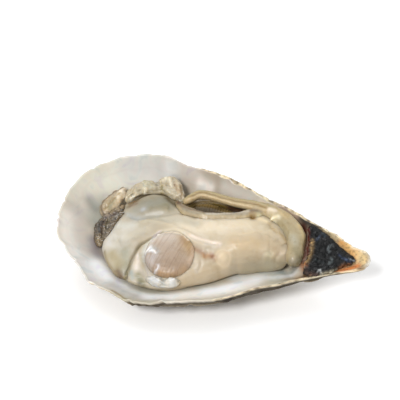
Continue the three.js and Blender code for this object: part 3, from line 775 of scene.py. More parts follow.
BELLY_EDGE = [
    (4.6, -6.5), (4.4, -4.3), (6.3, -2.1), (9.8, -0.5), (12.1, 0.7), (14.7, 2.2), (17.6, 2.6), (20.2, 2),
    (22.8, 1.3), (25.1, 0.1),
]
DISC = [
    (3, -9.2), (3.4, -7.5), (4.6, -6.5), (6.5, -6.5), (7.7, -7.5), (7.5, -9.1), (6.1, -10.3), (4.2, -10.4),
    (3, -9.2),
]
CREASE = [(17.9, 7.7), (20.5, 5.1), (23.3, 3.6), (26.1, 0.6), (27.6, -2.9), (26.5, -3.5)]
LOW_EDGE = [
    (-24.3, -20.6), (-20.7, -21.3), (-16.8, -22), (-11.9, -22.6), (-8, -21.4), (-3.4, -18), (2.3, -15),
    (5.9, -12.5), (9.6, -9.5), (12.6, -7.5), (15.7, -6.2), (19.3, -5.3), (23.4, -4.6), (25.8, -3.9),
]
TRIANGLE_RIDGE = [(-22.3, -10.7), (-21.1, -13.3), (-19.4, -16.3), (-17.6, -19.4), (-16.3, -21.7)]
BRIM = [(-8.9, -2.3), (-6, -4.1), (-2.8, -5.1), (0.7, -5.8), (4, -5.5)]
BRIM_FOLD = [(-6.6, -3.1), (-2.6, -4), (1.3, -4.5), (3.8, -4.6)]
SHORT_FOLD = [(-3.7, -10.3), (-2.6, -12), (-2.4, -14)]
LOBE_TIP = [(-18.7, -4.1), (-17.8, -3), (-16.9, -1.9)]
DISC_MIDDLE = [(5.4, -8.5)]
BODY_STROKES = [
    (-1.0, 0.42, GROOVE, 1.6),
    (0.45, 1.6, [(-27.4, -18), (-26.6, -14), (-26, -10), (-24, -5.5)]),
    (0.55, 1.1, BAND),
    (0.25, 0.6, OVER_MUSCLE),
    (0.2, 0.6, BRIM),
    (0.18, 0.6, BRIM_FOLD),
    (-0.22, 0.5, [(-7.6, -2.6), (-4, -4.4), (0, -5.1), (3, -5)]),
    (0.7, 3.6, [(-24.5, 9.5), (-19, 10.5)]),
    (-0.75, 1.1, DOME_FOOT),
    (0.4, 1.4, [(-25, 6), (-21, 6.8), (-16, 8)]),
    (-0.5, 0.9, DOME_TOP),
    (0.3, 2.0, [(-31.5, 0), (-28, -0.4), (-25, 1)]),
    (-0.7, 1.7, [(-30.5, -7), (-27, -5.2), (-24.6, -3.1), (-21.6, -1.4)]),
    (0.5, 2.6, [(-32.5, -8.5), (-30, -12)]),
    (-0.15, 0.6, BELLY_EDGE),
    (0.35, 3.6, [(9, -4), (14, -3), (20, -2)]),
    (-0.12, 0.5, DISC),
    (0.1, 1.6, DISC_MIDDLE),
    (0.25, 2.2, [(20.4, -5.8)]),
    (0.25, 1.7, [(24.4, -4.6)]),
    (0.4, 1.3, [(25, -1.4)]),
    (-0.25, 0.5, [(22.4, -5.4), (22.4, -4), (23.6, -2.2)]),
    (-0.22, 0.5, [(17.8, -6), (18.2, -4.6), (19.6, -3.4), (21.5, -3.6)]),
    (-0.4, 1.1, [(-0.8, -9.3), (1.2, -8.7), (2.4, -8.8)]),
    (-0.3, 0.7, [(-5, -6.9), (-2.3, -7.8), (0.4, -8.6)]),
    (0.2, 0.9, SHORT_FOLD),
    (-0.12, 0.4, [(-1.4, -10.6), (-1.2, -12.4), (-1.8, -14.6)]),
    (0.7, 1.7, [(19.5, 6), (22.4, 3.6), (24.6, 1)]),
    (0.35, 0.45, TRIANGLE_RIDGE),
    (-0.3, 0.7, [(12.4, 8.7)]),
    (0.5, 1.1, [(-31.6, 10.8), (-29.4, 12)]),
    (0.3, 0.4, LOBE_TIP),
    (-0.3, 0.6, [(18.2, 7.6), (19.6, 5.4), (21.6, 4.2)]),
    (0.3, 1.6, [(16, 6.4), (18.6, 3.4), (21.6, 1)]),
    (0.3, 1.4, [(-22.6, -14), (-21.8, -18.4)]),
]
BODY_TINTS = [
    ("d3c7b1", 5.5, 0.9, [(-9, 1), (0, 2), (10, 4.2)]),
    ("c9bb9f", 3.5, 0.6, [(10, 6), (19, 5)]),
    ("b6a384", 4.6, 0.85, [(9, -4), (14, -2.6), (20, -1.8)]),
    ("b6a691", 2.2, 0.7, [(20, -4.4), (25, -2.6)]),
    ("b4a388", 3.2, 0.85, [(-7, -19), (-1, -15), (5, -12)]),
    ("bcb8ae", 6.0, 0.95, [(-32.5, -3), (-29.5, -11)]),
    # Paler at the lobe's upper left: partly its own tone, partly painted highlight.
    ("c4c2bd", 2.6, 0.85, [(-33.4, -7.6), (-30.8, -9)]),
    ("c2c1b8", 2.0, 0.7, [(-31.5, 0), (-28, -0.2), (-25.2, 1.4)]),
    # Darker in the valley across the lobe and down its side by the groove: partly its own olive, partly
    # painted shade.
    ("b7b09f", 1.6, 0.65, [(-30, -6.8), (-26.7, -5), (-24.6, -3.1), (-21.6, -1.4)]),
    ("979787", 2.2, 0.8, [(-27.2, -10.5), (-26.2, -14.5), (-26.4, -17.4)]),
    ("53320a", 1.3, 0.8, [(-28.6, -17.4), (-26.4, -19.6)]),
    ("7f7158", 0.45, 0.8, LOBE_EDGE),
    ("807e6f", 4.2, 0.95, [(-25.5, 9), (-17.5, 11)]),
    ("949083", 1.8, 0.85, [(-27.6, 6.6), (-25.4, 8)]),
    ("736a36", 1.8, 0.6, [(-17.5, 8.6)]),
    ("a0a19d", 1.3, 0.8, DOME_FOOT[:4]),
    ("b2ab99", 1.9, 0.85, [(-24, 1.6), (-20, 3), (-16, 3.4), (-11, 3.2), (-6, 2)]),
    # Dark along the dome's top, under the ruffles: painted shadow.
    ("7f745b", 0.9, 0.85, DOME_TOP),
    # Nearly black and dark olive where the belly shows down the slot between the ropes: painted shade.
    ("0b0a0a", 1.7, 1.0, [(-8.5, 12.4), (-4, 12.6), (0, 12.6), (6, 12.3), (11, 12.6)]),
    ("64511f", 1.9, 1.0, [(-11, 13.2), (-9, 14.2), (-6, 15.2), (-2, 15), (2, 14.6)]),
    ("3d230b", 1.5, 1.0, [(3.4, 14.4), (7, 14.2), (11, 13.6)]),
    ("756942", 0.42, 0.9, GROOVE),
    ("c2b8a9", 1.7, 0.9, [(-22.9, -12), (-22.2, -16), (-21.6, -19)]),
    ("d2cac2", 0.7, 0.9, [(-22.7, -11), (-22.2, -16)]),
    ("979d98", 0.8, 0.9, [(-23.7, -17.4), (-22.8, -19.4)]),
    ("64623b", 1.3, 0.8, [(-21.2, -18.6), (-19.2, -20.6)]),
    ("0a0a0a", 0.7, 0.8, [(-20.4, -21), (-18, -22.2)]),
    ("b1aaa3", 1.0, 0.8, [(-20.6, -10.6), (-19.4, -15), (-17.4, -18.6)]),
    # White film left of the muscle: white tissue, with a painted glint on it.
    ("d9d3c9", 0.8, 0.9, [(-20.9, -9.8), (-20.2, -7.4), (-18.6, -5)]),
    ("a29b89", 0.4, 0.8, TRIANGLE_RIDGE),
    ("beb39e", 0.7, 0.7, OVER_MUSCLE),
    ("c2b7a9", 0.6, 0.5, BRIM),
    ("edddd3", 0.6, 0.45, BRIM_FOLD),
    ("95775c", 1.0, 0.85, [(-5, -7.1), (-2.3, -8), (-0.6, -8.8)]),
    ("a07a50", 1.0, 0.8, [(-0.4, -9.3), (1.4, -8.8)]),
    ("70330a", 0.9, 0.7, [(2, -8.8), (3, -9.2)]),
    ("b4a998", 0.8, 0.85, SHORT_FOLD),
    ("d6c3a4", 2.0, 0.7, DISC_MIDDLE),
    ("dac6a7", 0.4, 0.3, DISC),
    ("d1bf9c", 0.5, 0.35, BELLY_EDGE[3:7]),
    ("a6916b", 0.8, 0.7, CREASE),
    ("bcb69e", 1.8, 0.8, [(20.2, -4.6)]),
    ("a5987e", 1.4, 0.8, [(24.2, -3.7)]),
    ("6e4e00", 1.0, 1.0, [(12.0, 8.3), (12.8, 8.5)]),
    # Dark along the dome's top and at its right end, under the ruffles: painted shadow.
    ("625338", 0.6, 0.8, [(-28, 14.2), (-25.4, 15.4), (-22.4, 15.8), (-19.1, 15.2)]),
    ("4c3e12", 1.0, 0.9, [(-18, 12.8), (-16.2, 11.2), (-14.2, 9.9)]),
    ("a8a9ac", 0.9, 0.8, [(-25, 7)]),
    ("867f69", 0.9, 0.8, [(-22.4, 7.4), (-18.4, 8.2), (-15.4, 8.4)]),
    ("e2d1ae", 1.2, 0.7, [(14.6, 8.8), (16.6, 8.4)]),
    # Dark and pinkish brown under the ribbon's left end: painted shade.
    ("6e5737", 0.9, 0.85, [(-30.8, 11.2), (-28.4, 11.8)]),
    ("715947", 0.8, 0.7, [(-30.2, 9.4), (-28.4, 10.1)]),
    ("b9b0ae", 0.45, 0.9, LOBE_TIP),
    ("b0b1a8", 0.45, 0.75, [(-20.2, -6.6), (-21.2, -9), (-20.9, -11.6), (-20.1, -13.8)]),
    ("94865f", 2.6, 0.75, [(-31.5, -11.6), (-29, -14.6)]),
    ("988e76", 0.55, 0.7, LOW_EDGE),
]
ROPE_LINE = [(-8.9, 7.6), (-5.3, 7), (-1.1, 7.2), (3, 7.9), (7.1, 8.7), (10.3, 9.6), (12.6, 10)]
ROPE_SAG = 0.9  # how far the lower rope has sunk towards the belly, which gives way to it
SAG_WIDTH, SAG_TAPER = 2.4, 0.3
BODY_FOOT = [
    (-26.6, -20.4), (-24, -21), (-21.5, -21.4), (-16.8, -22.6), (-11.9, -23), (-8, -22), (-3.4, -18.6),
    (2.3, -15.6), (5.9, -13), (10, -10),
]
BODY_SIDE = [(-33, 6), (-34.5, 3.3), (-35.4, 0.2), (-36.6, -2.7)]
FOOT_DRAWN, SIDE_DRAWN = (0, 1.1), (1.2, 0)  # how far the meat has shrunk back from the shell there


def drawn_in(piece, line, way, reach):
    """Shifts what lies near a line. way is how far, in x and y."""
    points = in_shell(coordinates(piece))
    gap, _ = near_line(points, line, 3 * reach)
    points[:, :2] += np.exp(-((gap / reach) ** 2))[:, None] * way
    move(piece, on_table(points))


def sagged(piece):
    """Sinks what lies along the lower rope, rope and belly alike."""
    points = in_shell(coordinates(piece))
    gap, along = near_line(points, ROPE_LINE, reach=6)
    tapered = smooth(along / SAG_TAPER) * smooth((1 - along) / SAG_TAPER)
    points[:, 1] -= ROPE_SAG * np.exp(-((gap / SAG_WIDTH) ** 2)) * tapered
    move(piece, on_table(points))


body = clay("meat_body", "body", voxel=0.34, relax=10)
modelled(body, BODY_STROKES, rough=[(0.22, 5.0), (0.07, 1.6)])
sagged(body)
drawn_in(body, BODY_FOOT, FOOT_DRAWN, reach=2.6)
drawn_in(body, BODY_SIDE, SIDE_DRAWN, reach=1.6)
points = settle(body, [shell])
flesh = wet_flesh("wet_oyster_belly", roughness=0.5, coat=0.1, mottle=0.55, mottle_size=6.0)
dress(body, painted(points, "a79c88", BODY_TINTS), flesh, "body")

# ---------------------------------------------------------------- adductor muscle
# The muscle that shut the shell, cut through by the shucking knife: a short
# column of fibres that stands on the shell. Its cut face is pinkish grey,
# with the ends of the fibres in it, white tissue at its left edge with
# painted glints on it, and a tan rim.
WHITE_FILM_AND_GLINT = [(-20.2, -11.2), (-19.2, -10.4), (-18.6, -9.2)]
WHITE_HOOK_AND_GLINT = [(-15.6, -17.4), (-14.8, -17), (-14.5, -16.2), (-14.8, -15.6)]
MUSCLE_STROKES = [
    (0.3, 0.5, WHITE_FILM_AND_GLINT),
    (0.25, 0.45, [(-18.8, -10.8), (-17.4, -10.6), (-16.2, -11.6)]),
    (0.3, 0.4, WHITE_HOOK_AND_GLINT),
    (0.3, 0.5, [(-19, -3.6), (-17.9, -3.3), (-17, -4.6)]),
]
MUSCLE_TINTS = [
    ("bab0a5", 3.6, 0.9, [(-16.5, -4.5), (-12, -3.6)]),
    ("a38658", 2.6, 0.8, [(-8, -4), (-5.4, -8)]),
    ("907b65", 3.2, 0.8, [(-13, -15.6), (-8, -14.6)]),
    ("aca5a3", 2.6, 0.8, [(-17.5, -13.5)]),
    ("a78c6e", 1.2, 0.9, [(-14.4, -17.8), (-11.4, -18.3), (-8, -17.4), (-5.6, -14.8)]),
    ("c5ae98", 0.8, 0.8, [(-4.9, -12.6), (-4.3, -9.6), (-4.8, -7)]),
    ("a29d96", 1.0, 0.95, [(-20.2, -10.8), (-18.8, -9.6), (-17.2, -9.8), (-16, -11)]),
    # White at the muscle's left edge: white tissue, with painted glints on it.
    ("c2c7ca", 0.45, 0.9, [(-19.6, -10.2), (-18.4, -9.8), (-17.6, -11)]),
    ("eceff1", 0.4, 0.8, WHITE_FILM_AND_GLINT),
    ("dee0e1", 0.35, 0.8, [(-18.6, -11), (-17.4, -10.8), (-16.4, -11.6)]),
    ("d8d8d4", 0.5, 0.8, [(-20.6, -9.4), (-20.9, -11.6), (-20.3, -13.6), (-18.9, -15.8)]),
    ("c3bcb4", 1.2, 0.85, [(-19.4, -8.6), (-18, -6), (-16.4, -4.2)]),
    # White hook and white bits on the top: white tissue, with painted glints on them.
    ("c4c2c4", 0.42, 0.95, WHITE_HOOK_AND_GLINT),
    ("eee9e1", 0.5, 0.9, [(-18.6, -3.8), (-17.6, -3), (-16.8, -4.2)]),
    ("f2e4cc", 0.45, 0.8, [(-17, -3.4), (-13.4, -2.5), (-9.6, -2.9), (-6.8, -4.6)]),
]
muscle = clay("cut_muscle", "adductor_muscle", voxel=0.28, relax=8)
modelled(muscle, MUSCLE_STROKES, rough=[(0.22, 3.0), (0.09, 0.9)])
points = settle(muscle, [body], reach=1.9 * MM)
fibres = wet_flesh("cut_muscle_fibres", roughness=0.5, mottle=0.4, mottle_size=1.5, coat=0.12, bump=0.08)
tree = fibres.node_tree
shader = tree.nodes["Principled BSDF"]
position = add_node(tree, "TexCoord", out="Object")
fibre_way = {"Vector": position, "Rotation": (0, 0, radians(72)), "Scale": (9 * MM, 0.55 * MM, 9 * MM)}
along = add_node(tree, "Mapping", fibre_way, vector_type="TEXTURE")
fibre = add_node(tree, "TexNoise", {"Vector": along, "Scale": 1.0, "Detail": 2.0})
colour, wet = (shader.inputs[name].links[0].from_socket for name in ("Base Color", "Normal"))
tones = [(0.36, "dccdc3"), (0.52, "ffffff"), (0.66, "fff9f4")]
cut = add_node(tree, "Bump", {"Height": fibre, "Strength": 0.5, "Distance": 0.12 * MM, "Normal": wet})
set_inputs(tree, shader, {"Base Color": patterned(tree, colour, [(fibre, 0.5, tones)]), "Normal": cut})
dress(muscle, painted(points, "a0907f", MUSCLE_TINTS), fibres, "adductor_muscle")

# ---------------------------------------------------------------- catch muscle
# The small opaque white part of the muscle, which holds the shell shut for hours: two wet lumps
# in front of it. They are cut fibres of the same kind, only denser, and are grown to the shell.
LUMP_GAP = [(-12.2, -18.5), (-12.1, -21), (-12, -23)]
CATCH_STROKES = [
    (-0.9, 0.9, LUMP_GAP),
    (-0.3, 0.8, [(-17.4, -19.4)]),
    (0.4, 0.9, [(-15.2, -20.3)]),
    (0.7, 1.35, [(-9.4, -20.1)], 6),
    (-0.8, 0.7, [(-6.9, -18.4), (-6.5, -20.8)]),
    (-0.3, 0.3, [(-16.8, -19.6), (-15.5, -20.8), (-14, -20.6)]),
]
catch = clay("white_catch_muscle", "catch_muscle", voxel=0.25, relax=6)
modelled(catch, CATCH_STROKES, rough=[(0.28, 1.2), (0.14, 0.6)])
drawn_in(catch, BODY_FOOT, FOOT_DRAWN, reach=2.6)
points = settle(catch, [shell, body, muscle], reach=1.3 * MM)
CATCH_TINTS = [
    ("c5c5c4", 1.7, 1.0, [(-9.3, -20.2)]),
    ("bcbfc3", 1.6, 0.9, [(-15.8, -19.9), (-14.4, -20.4)]),
    ("d5cdb7", 0.5, 0.9, [(-16.9, -21.2), (-16.2, -21.9)]),
    ("a9a9a3", 0.8, 0.9, LUMP_GAP),
    ("c2ac83", 0.8, 1.0, [(-6.5, -18), (-6.3, -20.8)]),
]
white_flesh = wet_flesh("opaque_white_muscle", roughness=0.55, glow=0.35, mottle=0.3, coat=0.1)
dress(catch, painted(points, "bcb4a3", CATCH_TINTS), white_flesh, "catch_muscle")

# ---------------------------------------------------------------- mantle folds
# The thick edge of the mantle, which lined the shell's lip: two ropes with a slot between them where
# water came in, a knob where they meet, and the wrap that goes on round the right end of the belly.
UPPER_RIDGE = [
    (-12.6, 12.6), (-10.4, 14.7), (-8.5, 16.3), (-5.1, 16.8), (-1.5, 16.2), (2.1, 15.4), (6, 15.2),
    (10.2, 15.2), (13.6, 14.9), (16.5, 14), (18.3, 13.2),
]
UPPER_LIP = [
    (-11.6, 12), (-9.2, 13.3), (-6.7, 15), (-2.8, 14.7), (0.9, 13.9), (5, 13.2), (9.5, 12.9), (13.8, 12.1),
    (17, 11.2),
]
BETWEEN = [
    (-10.9, 12.9), (-9, 14.4), (-6.6, 15.9), (-2.7, 15.5), (1, 14.7), (5.3, 14.2), (9.5, 14), (13.4, 13.6),
    (16.3, 12.5),
]
LOWER_RIDGE = [
    (-13.5, 10.8), (-11.8, 9.2), (-8.9, 8), (-5.3, 7.5), (-1.1, 7.8), (3, 8.5), (7.1, 9.3), (10.3, 10.2),
    (12.3, 10.8), (14.5, 11),
]
LOWER_GROOVE = [(-11.6, 8.2), (-8.7, 7), (-5.2, 6.5), (-1, 6.8), (3.1, 7.6), (7.2, 8.4), (10.4, 9.3)]
WRAP_CREST = [(18.4, 12), (21.3, 9.7), (25.2, 7.1), (27.9, 3.5), (29.4, 0.1), (29.6, -2.6), (28.8, -4.4)]
KNOB_BACK = [(17.4, 12), (19.2, 11.9)]
SOFT_PLACES = [((15.6, 10.6), 2.2), ((18.4, 9.2), 3.0), ((28.6, 1.5), 3.0)]  # place and reach
SOFT_END = ((28.6, -3.8), 3.2)
SOFT_TIMES = 110  # how often each is stroked
WRAP_END, WRAP_REACH = (29.6, -4.2), 4.2
WRAP_SLUMP, WRAP_SHIFT = 1.7, 0.3  # how far the wrap's end has slid forwards and to the right
WRAP_MIDDLE, WRAP_SPREAD = 30.2, 0.5  # where it spreads from, and how much wider it lies
SLOT = [(-9, 12), (-4.5, 12.2), (1, 11.8), (6, 12), (11, 12.6)]
FOLD_STROKES = [
    (-0.3, 0.5, BETWEEN),
    (0.3, 0.5, UPPER_LIP),
    (-0.12, 0.3, LOWER_GROOVE),
    (0.05, 0.5, LOWER_RIDGE),
    (-0.8, 0.9, [(12.3, 8.4)]),
    (0.2, 1.0, [(18, 7.9), (19.2, 8.7), (20.6, 10)]),
    (-0.4, 1.0, [(14.4, 10.6), (15.8, 10.2)]),
    (0.25, 1.0, KNOB_BACK),
    (-0.25, 0.9, [(20.8, 8.6), (23, 6.6), (25, 4.4)]),
    (0.2, 1.8, [(26.2, 3.8), (28, 1.6)]),
    (-0.4, 1.6, WRAP_CREST),
    (-0.2, 0.7, [(22.6, 11), (25.4, 9), (27.6, 6)]),
]
FOLD_TINTS = [
    ("948869", 3.0, 0.9, [(22, 9), (28, 3), (29, -2)]),
    ("9a8e69", 0.8, 0.85, UPPER_RIDGE),
    ("71560a", 0.5, 0.7, BETWEEN),
    ("b09d7a", 0.6, 0.9, UPPER_LIP),
    ("675949", 0.8, 0.9, LOWER_RIDGE),
    ("7f7d70", 0.4, 0.6, LOWER_GROOVE),
    # Pale line along the lower rope's top edge: painted highlight.
    ("b6afa0", 0.5, 0.85, [(-3, 6.9), (-1.1, 7.1), (3, 8.3), (7.9, 9.6), (10.4, 10.2)]),
    # Dark brown in the hollow at the ropes' left end, under the ruffles: painted shadow.
    ("472c0a", 1.2, 0.9, [(-14.8, 12.6), (-13.6, 11.2)]),
    ("a19175", 0.6, 0.8, [(-9.7, 6.4), (-5.9, 5.4), (-1.5, 5.6), (2.6, 6.4), (6.6, 7.5)]),
    ("7e5a00", 1.0, 1.0, [(12.0, 8.5), (12.8, 8.7)]),
    ("f7f1c9", 1.2, 0.8, [(14.6, 9.6), (17, 9.4)]),
    # Pale cream along the knob: partly its own cream, partly painted highlight.
    ("f7eed0", 0.8, 0.7, [(17.8, 7.9), (19.2, 8.7), (20.6, 10)]),
    ("b19d73", 1.0, 0.75, [(18, 12.5), (20.5, 12), (23.7, 10.5)]),
    # Pale cream on the knob's back: partly its own cream, partly painted highlight.
    ("d9cfc0", 0.9, 0.7, KNOB_BACK),
    ("9b9073", 0.9, 0.6, [(20.8, 9.2), (21.6, 8), (24, 5.4), (25.6, 3)]),
    # Greenish white on the wrap's inner side: painted highlight.
    ("9e9987", 1.4, 0.85, [(26.8, 2.6), (28, 0.6)]),
    ("7d7558", 1.7, 0.6, [(28.4, -1.8), (29.8, -3.4)]),
    # Dark grey-olive at the wrap's lower end: painted shade.
    ("565140", 1.9, 0.7, [(27, -6), (28.8, -6.2), (30.6, -4.8)]),
    ("b5a274", 0.7, 0.7, [(28, 8), (30.2, 4.6), (31.4, 1), (31.6, -2)]),
]


def soften(piece, place, reach):
    """Strokes a place smooth, as a wet thumb does."""
    points = in_shell(coordinates(piece))
    ends = np.array([edge.vertices[:] for edge in piece.data.edges])
    joined = np.bincount(ends.ravel(), minlength=len(points))[:, None]
    amount = 0.5 * np.exp(-((apart(points, place) / reach) ** 4))[:, None]
    for _ in range(SOFT_TIMES):
        near = np.zeros_like(points)
        np.add.at(near, ends[:, 0], points[ends[:, 1]])
        np.add.at(near, ends[:, 1], points[ends[:, 0]])
        points += (near / joined - points) * amount
    move(piece, on_table(points))


folds = clay("mantle_folds_rope", "mantle_folds", voxel=0.24, relax=5, swell=0.2)
modelled(folds, FOLD_STROKES, rough=[(0.16, 2.4), (0.06, 0.9)])
for place, reach in SOFT_PLACES:
    soften(folds, place, reach)
sagged(folds)
points = in_shell(coordinates(folds))
slump = np.exp(-((apart(points, WRAP_END) / WRAP_REACH) ** 2))
points[:, 0] += slump * (WRAP_SHIFT + WRAP_SPREAD * (points[:, 0] - WRAP_MIDDLE))
points[:, 1] -= slump * WRAP_SLUMP
points[:, 2] = np.maximum(points[:, 2], inside_height(points[:, 0], points[:, 1]) + 0.1)
move(folds, on_table(points))
soften(folds, *SOFT_END)
points = settle(folds, [shell, body], reach=1.4 * MM)
tint = painted(points, "ac9b7a", FOLD_TINTS)
# The walls of the slot are painted with its shade: olive, and nearly black towards its right end.
slot_gap, _ = near_line(points, SLOT, reach=3)
in_slot_shade = smooth((2.4 - slot_gap) / 0.8) * smooth((1.0 - points[:, 2]) / 1.2)
painted_slot_shade = mixed("665428", "2c2010", smooth((points[:, 0] - 0.5) / 4))
tint = mixed(tint, painted_slot_shade, 0.95 * in_slot_shade)
fold_flesh = wet_flesh("wet_mantle_edge", roughness=0.5, mottle=0.5, mottle_size=1.6, coat=0.14)
dress(folds, tint, fold_flesh, "mantle_folds")

# ---------------------------------------------------------------- mantle frill
# The same edge at the back left, drawn up in ruffles: three soft lumps over a thin cream
# ribbon. It is thin, wet skin and muscle, grown to the body on one side and loose on the other.
MIDDLE_GAP = [(-23.3, 20.5), (-22.6, 18.4), (-22.4, 17)]
RIGHT_GAP = [(-16.6, 18.8), (-15.6, 17), (-14.9, 16)]
LEFT_CREASE = [(-26.9, 17.6), (-26.6, 16), (-26.4, 14.6)]
RIGHT_CREASE = [(-20.9, 17.6), (-20.7, 16.4), (-20.6, 15.2)]
LEFT_CURL = [(-26.8, 19.2), (-25.4, 18.2), (-24.4, 16.8)]
RIGHT_CURL = [(-20.6, 20), (-19.3, 20.4), (-17.8, 18.6), (-16.8, 16.6)]
RIBBON = [(-31.4, 12.6), (-28.4, 15), (-25.6, 16.2), (-22.2, 16.7), (-19.2, 16.4), (-16.6, 15)]
FRILL_STROKES = [
    (-0.9, 0.6, MIDDLE_GAP),
    (-0.7, 0.45, [(-30.4, 13.2), (-29.4, 12.6)]),
    (-0.6, 0.4, LEFT_CREASE),
    (-0.6, 0.4, RIGHT_CREASE),
    (0.6, 0.7, RIGHT_CURL),
    (-0.9, 0.6, RIGHT_GAP),
    (-0.6, 0.4, [(-21.6, 18.8), (-19.6, 18.2), (-18.6, 17.4)]),
    (0.4, 0.5, [(-21.8, 19.6), (-20.8, 18.2), (-19.6, 17.2)]),
    (-0.5, 0.4, [(-27.8, 18.6), (-26.6, 17.2), (-26, 16.4)]),
    (0.4, 0.6, LEFT_CURL),
    (-0.3, 0.5, [(-31.6, 12), (-29.4, 13.8), (-27.2, 15.4)]),
    (0.2, 0.7, RIBBON[:3]),
]
FRILL_TINTS = [
    ("9e9681", 0.8, 0.85, RIBBON),
    ("c5beab", 0.9, 0.95, RIGHT_CURL),
    ("a4a18d", 1.0, 0.8, LEFT_CURL),
    ("af9b81", 0.6, 0.9, RIGHT_GAP),
    ("979080", 0.6, 0.85, MIDDLE_GAP),
    ("f7f1dc", 0.8, 0.9, [(-30.4, 12.2), (-28.8, 13.2)]),
    ("ece8d9", 0.45, 0.8, LEFT_CREASE),
    ("8d8259", 0.45, 0.8, RIGHT_CREASE),
    ("b6b39e", 0.5, 0.7, [(-27.8, 18.6), (-26.6, 17.2)]),
    # Dark brown at the frill's right end: partly brown, partly painted shade in the recess.
    ("6e5428", 0.6, 0.7, [(-14.6, 18.4), (-13.8, 16), (-13.4, 14)]),
]
frill = clay("mantle_frill_ruffles", "mantle_frill", voxel=0.24, relax=5, swell=0.15)
modelled(frill, FRILL_STROKES, rough=[(0.55, 1.9), (0.2, 0.8)])
settle(frill, [shell], reach=2.2 * MM)
points = settle(frill, [body, folds], reach=1.2 * MM)
RUFFLED = {"roughness": 0.44, "mottle": 0.6, "mottle_size": 1.1, "coat": 0.25, "bump_size": 0.8}
frill_flesh = wet_flesh("wet_mantle_frill", **RUFFLED)
dress(frill, painted(points, "aca18a", FRILL_TINTS), frill_flesh, "mantle_frill")

# ---------------------------------------------------------------- mantle ear
# A leaf of the mantle that lies flat on the shell, left of the ruffles, with a thin
# brown hem. It is the same skin and muscle, grown to the body under the ruffles.
EAR_HEM = [(-38.8, 5.8), (-40.1, 7.8), (-40.2, 10.5), (-38.5, 12.6), (-36.8, 14.6), (-35, 16.3), (-34.2, 18)]
EAR_FOLD = [(-39.1, 7.3), (-37.8, 9.4), (-36.5, 11.6), (-34.9, 14)]
EAR_STROKES = [
    (0.2, 0.5, EAR_HEM),
    (-0.25, 0.5, EAR_FOLD[:3]),
    (0.25, 1.0, [(-35.4, 13.4), (-34.4, 16)]),
    (-0.3, 0.7, [(-36.6, 7.4), (-35.4, 9.6)]),
]
ear = clay("mantle_ear_leaf", "mantle_ear", voxel=0.22, relax=4, swell=0.15)
modelled(ear, EAR_STROKES, rough=[(0.35, 1.7), (0.18, 0.7)])
settle(ear, [shell], reach=2.0 * MM)
points = settle(ear, [body, frill])
EAR_TINTS = [
    ("858063", 1.6, 0.8, [(-37.6, 8.6), (-36.4, 11)]),
    ("d5ccb9", 0.9, 0.8, [(-35.4, 12.4), (-34.6, 14.6)]),
    ("dcd0bd", 0.8, 0.9, [(-35.2, 15), (-34.4, 17)]),
    ("635643", 0.45, 0.9, EAR_HEM),
    ("95805a", 0.4, 0.8, EAR_FOLD),
    ("bfad8f", 0.7, 0.8, [(-35.8, 9), (-34.6, 11.4), (-33.8, 13.6)]),
]
ear_flesh = wet_flesh("wet_mantle_leaf", **RUFFLED)
dress(ear, painted(points, "a6957c", EAR_TINTS), ear_flesh, "mantle_ear")

# ---------------------------------------------------------------- dark fringe
# The outermost fringe of the mantle, fine tentacles laid together, grey-black and olive, full
# of wet sparkles. They are soft flesh, grown to the mantle's edge, and lie on the shell.
OUTER_LINE = [(-37.6, 3.4), (-38.2, 0.6), (-37.4, -2), (-37.4, -4.7)]
INNER_LINE = [(-36.4, 3.8), (-36.7, 1.2), (-36.6, -1.1)]
MIDDLE_STRAND = [(-33, 7.6), (-34.6, 4.4), (-35.8, 0.5), (-36.4, -3)]
DARK_STROKES = [
    (-0.6, 0.4, OUTER_LINE),
    (-0.5, 0.35, INNER_LINE),
    (0.5, 0.4, MIDDLE_STRAND),
    (0.4, 0.4, [(-39.6, 4.6), (-40.3, 1.5), (-39.8, -2), (-38.4, -5.2)]),
    (-0.5, 0.4, [(-35.6, 5.4), (-34.4, 7), (-33.4, 9)]),
]
dark = clay("dark_mantle_fringe", "mantle_dark_edge", voxel=0.22, relax=4, swell=0.15)
modelled(dark, DARK_STROKES, rough=[(0.45, 1.3), (0.25, 0.6)])
drawn_in(dark, BODY_SIDE, SIDE_DRAWN, reach=1.3)
points = settle(dark, [shell, body, ear])
DARK_TINTS = [
    ("422c0a", 0.8, 0.9, OUTER_LINE[:3]),
    ("504320", 0.45, 0.9, INNER_LINE),
    ("38190a", 0.9, 0.8, [(-36, 5), (-34.6, 6.4)]),
    ("85704f", 1.0, 0.9, [(-33.8, 8.4), (-33, 10.4), (-32.4, 12)]),
    ("0a0a0a", 0.8, 0.85, [(-38.8, 2), (-39.2, 0), (-38.4, -2)]),
    ("706157", 0.8, 0.9, [(-37.8, 4.4), (-36.8, 5)]),
    ("84745a", 1.0, 0.95, [(-37.2, 5.8), (-36, 7.2), (-34.8, 8.8)]),
    ("4d3e27", 0.3, 0.9, [(-32, 9), (-33.2, 6.4), (-34, 4), (-34.4, 1.6)]),
    # A white fleck: painted glint.
    ("f1f1ef", 0.28, 0.95, [(-34.2, 4.8), (-33.8, 5.6)]),
    ("514839", 0.4, 0.9, MIDDLE_STRAND),
    ("3f2d0d", 0.45, 0.9, [(-39.6, 5.2), (-40.4, 1.5), (-39.9, -2), (-38.6, -5.4)]),
    ("826e4a", 0.7, 0.8, [(-38.6, -5), (-37.2, -6.8)]),
]
SPARKLING = {"roughness": 0.2, "glow": 0.15, "coat": 1.0, "bump": 0.35, "bump_size": 0.6}
fringe = wet_flesh("wet_dark_fringe", mottle=1.0, mottle_size=0.8, darkest="1c1710", **SPARKLING)
dress(dark, painted(points, "5e4d30", DARK_TINTS), fringe, "mantle_dark_edge")

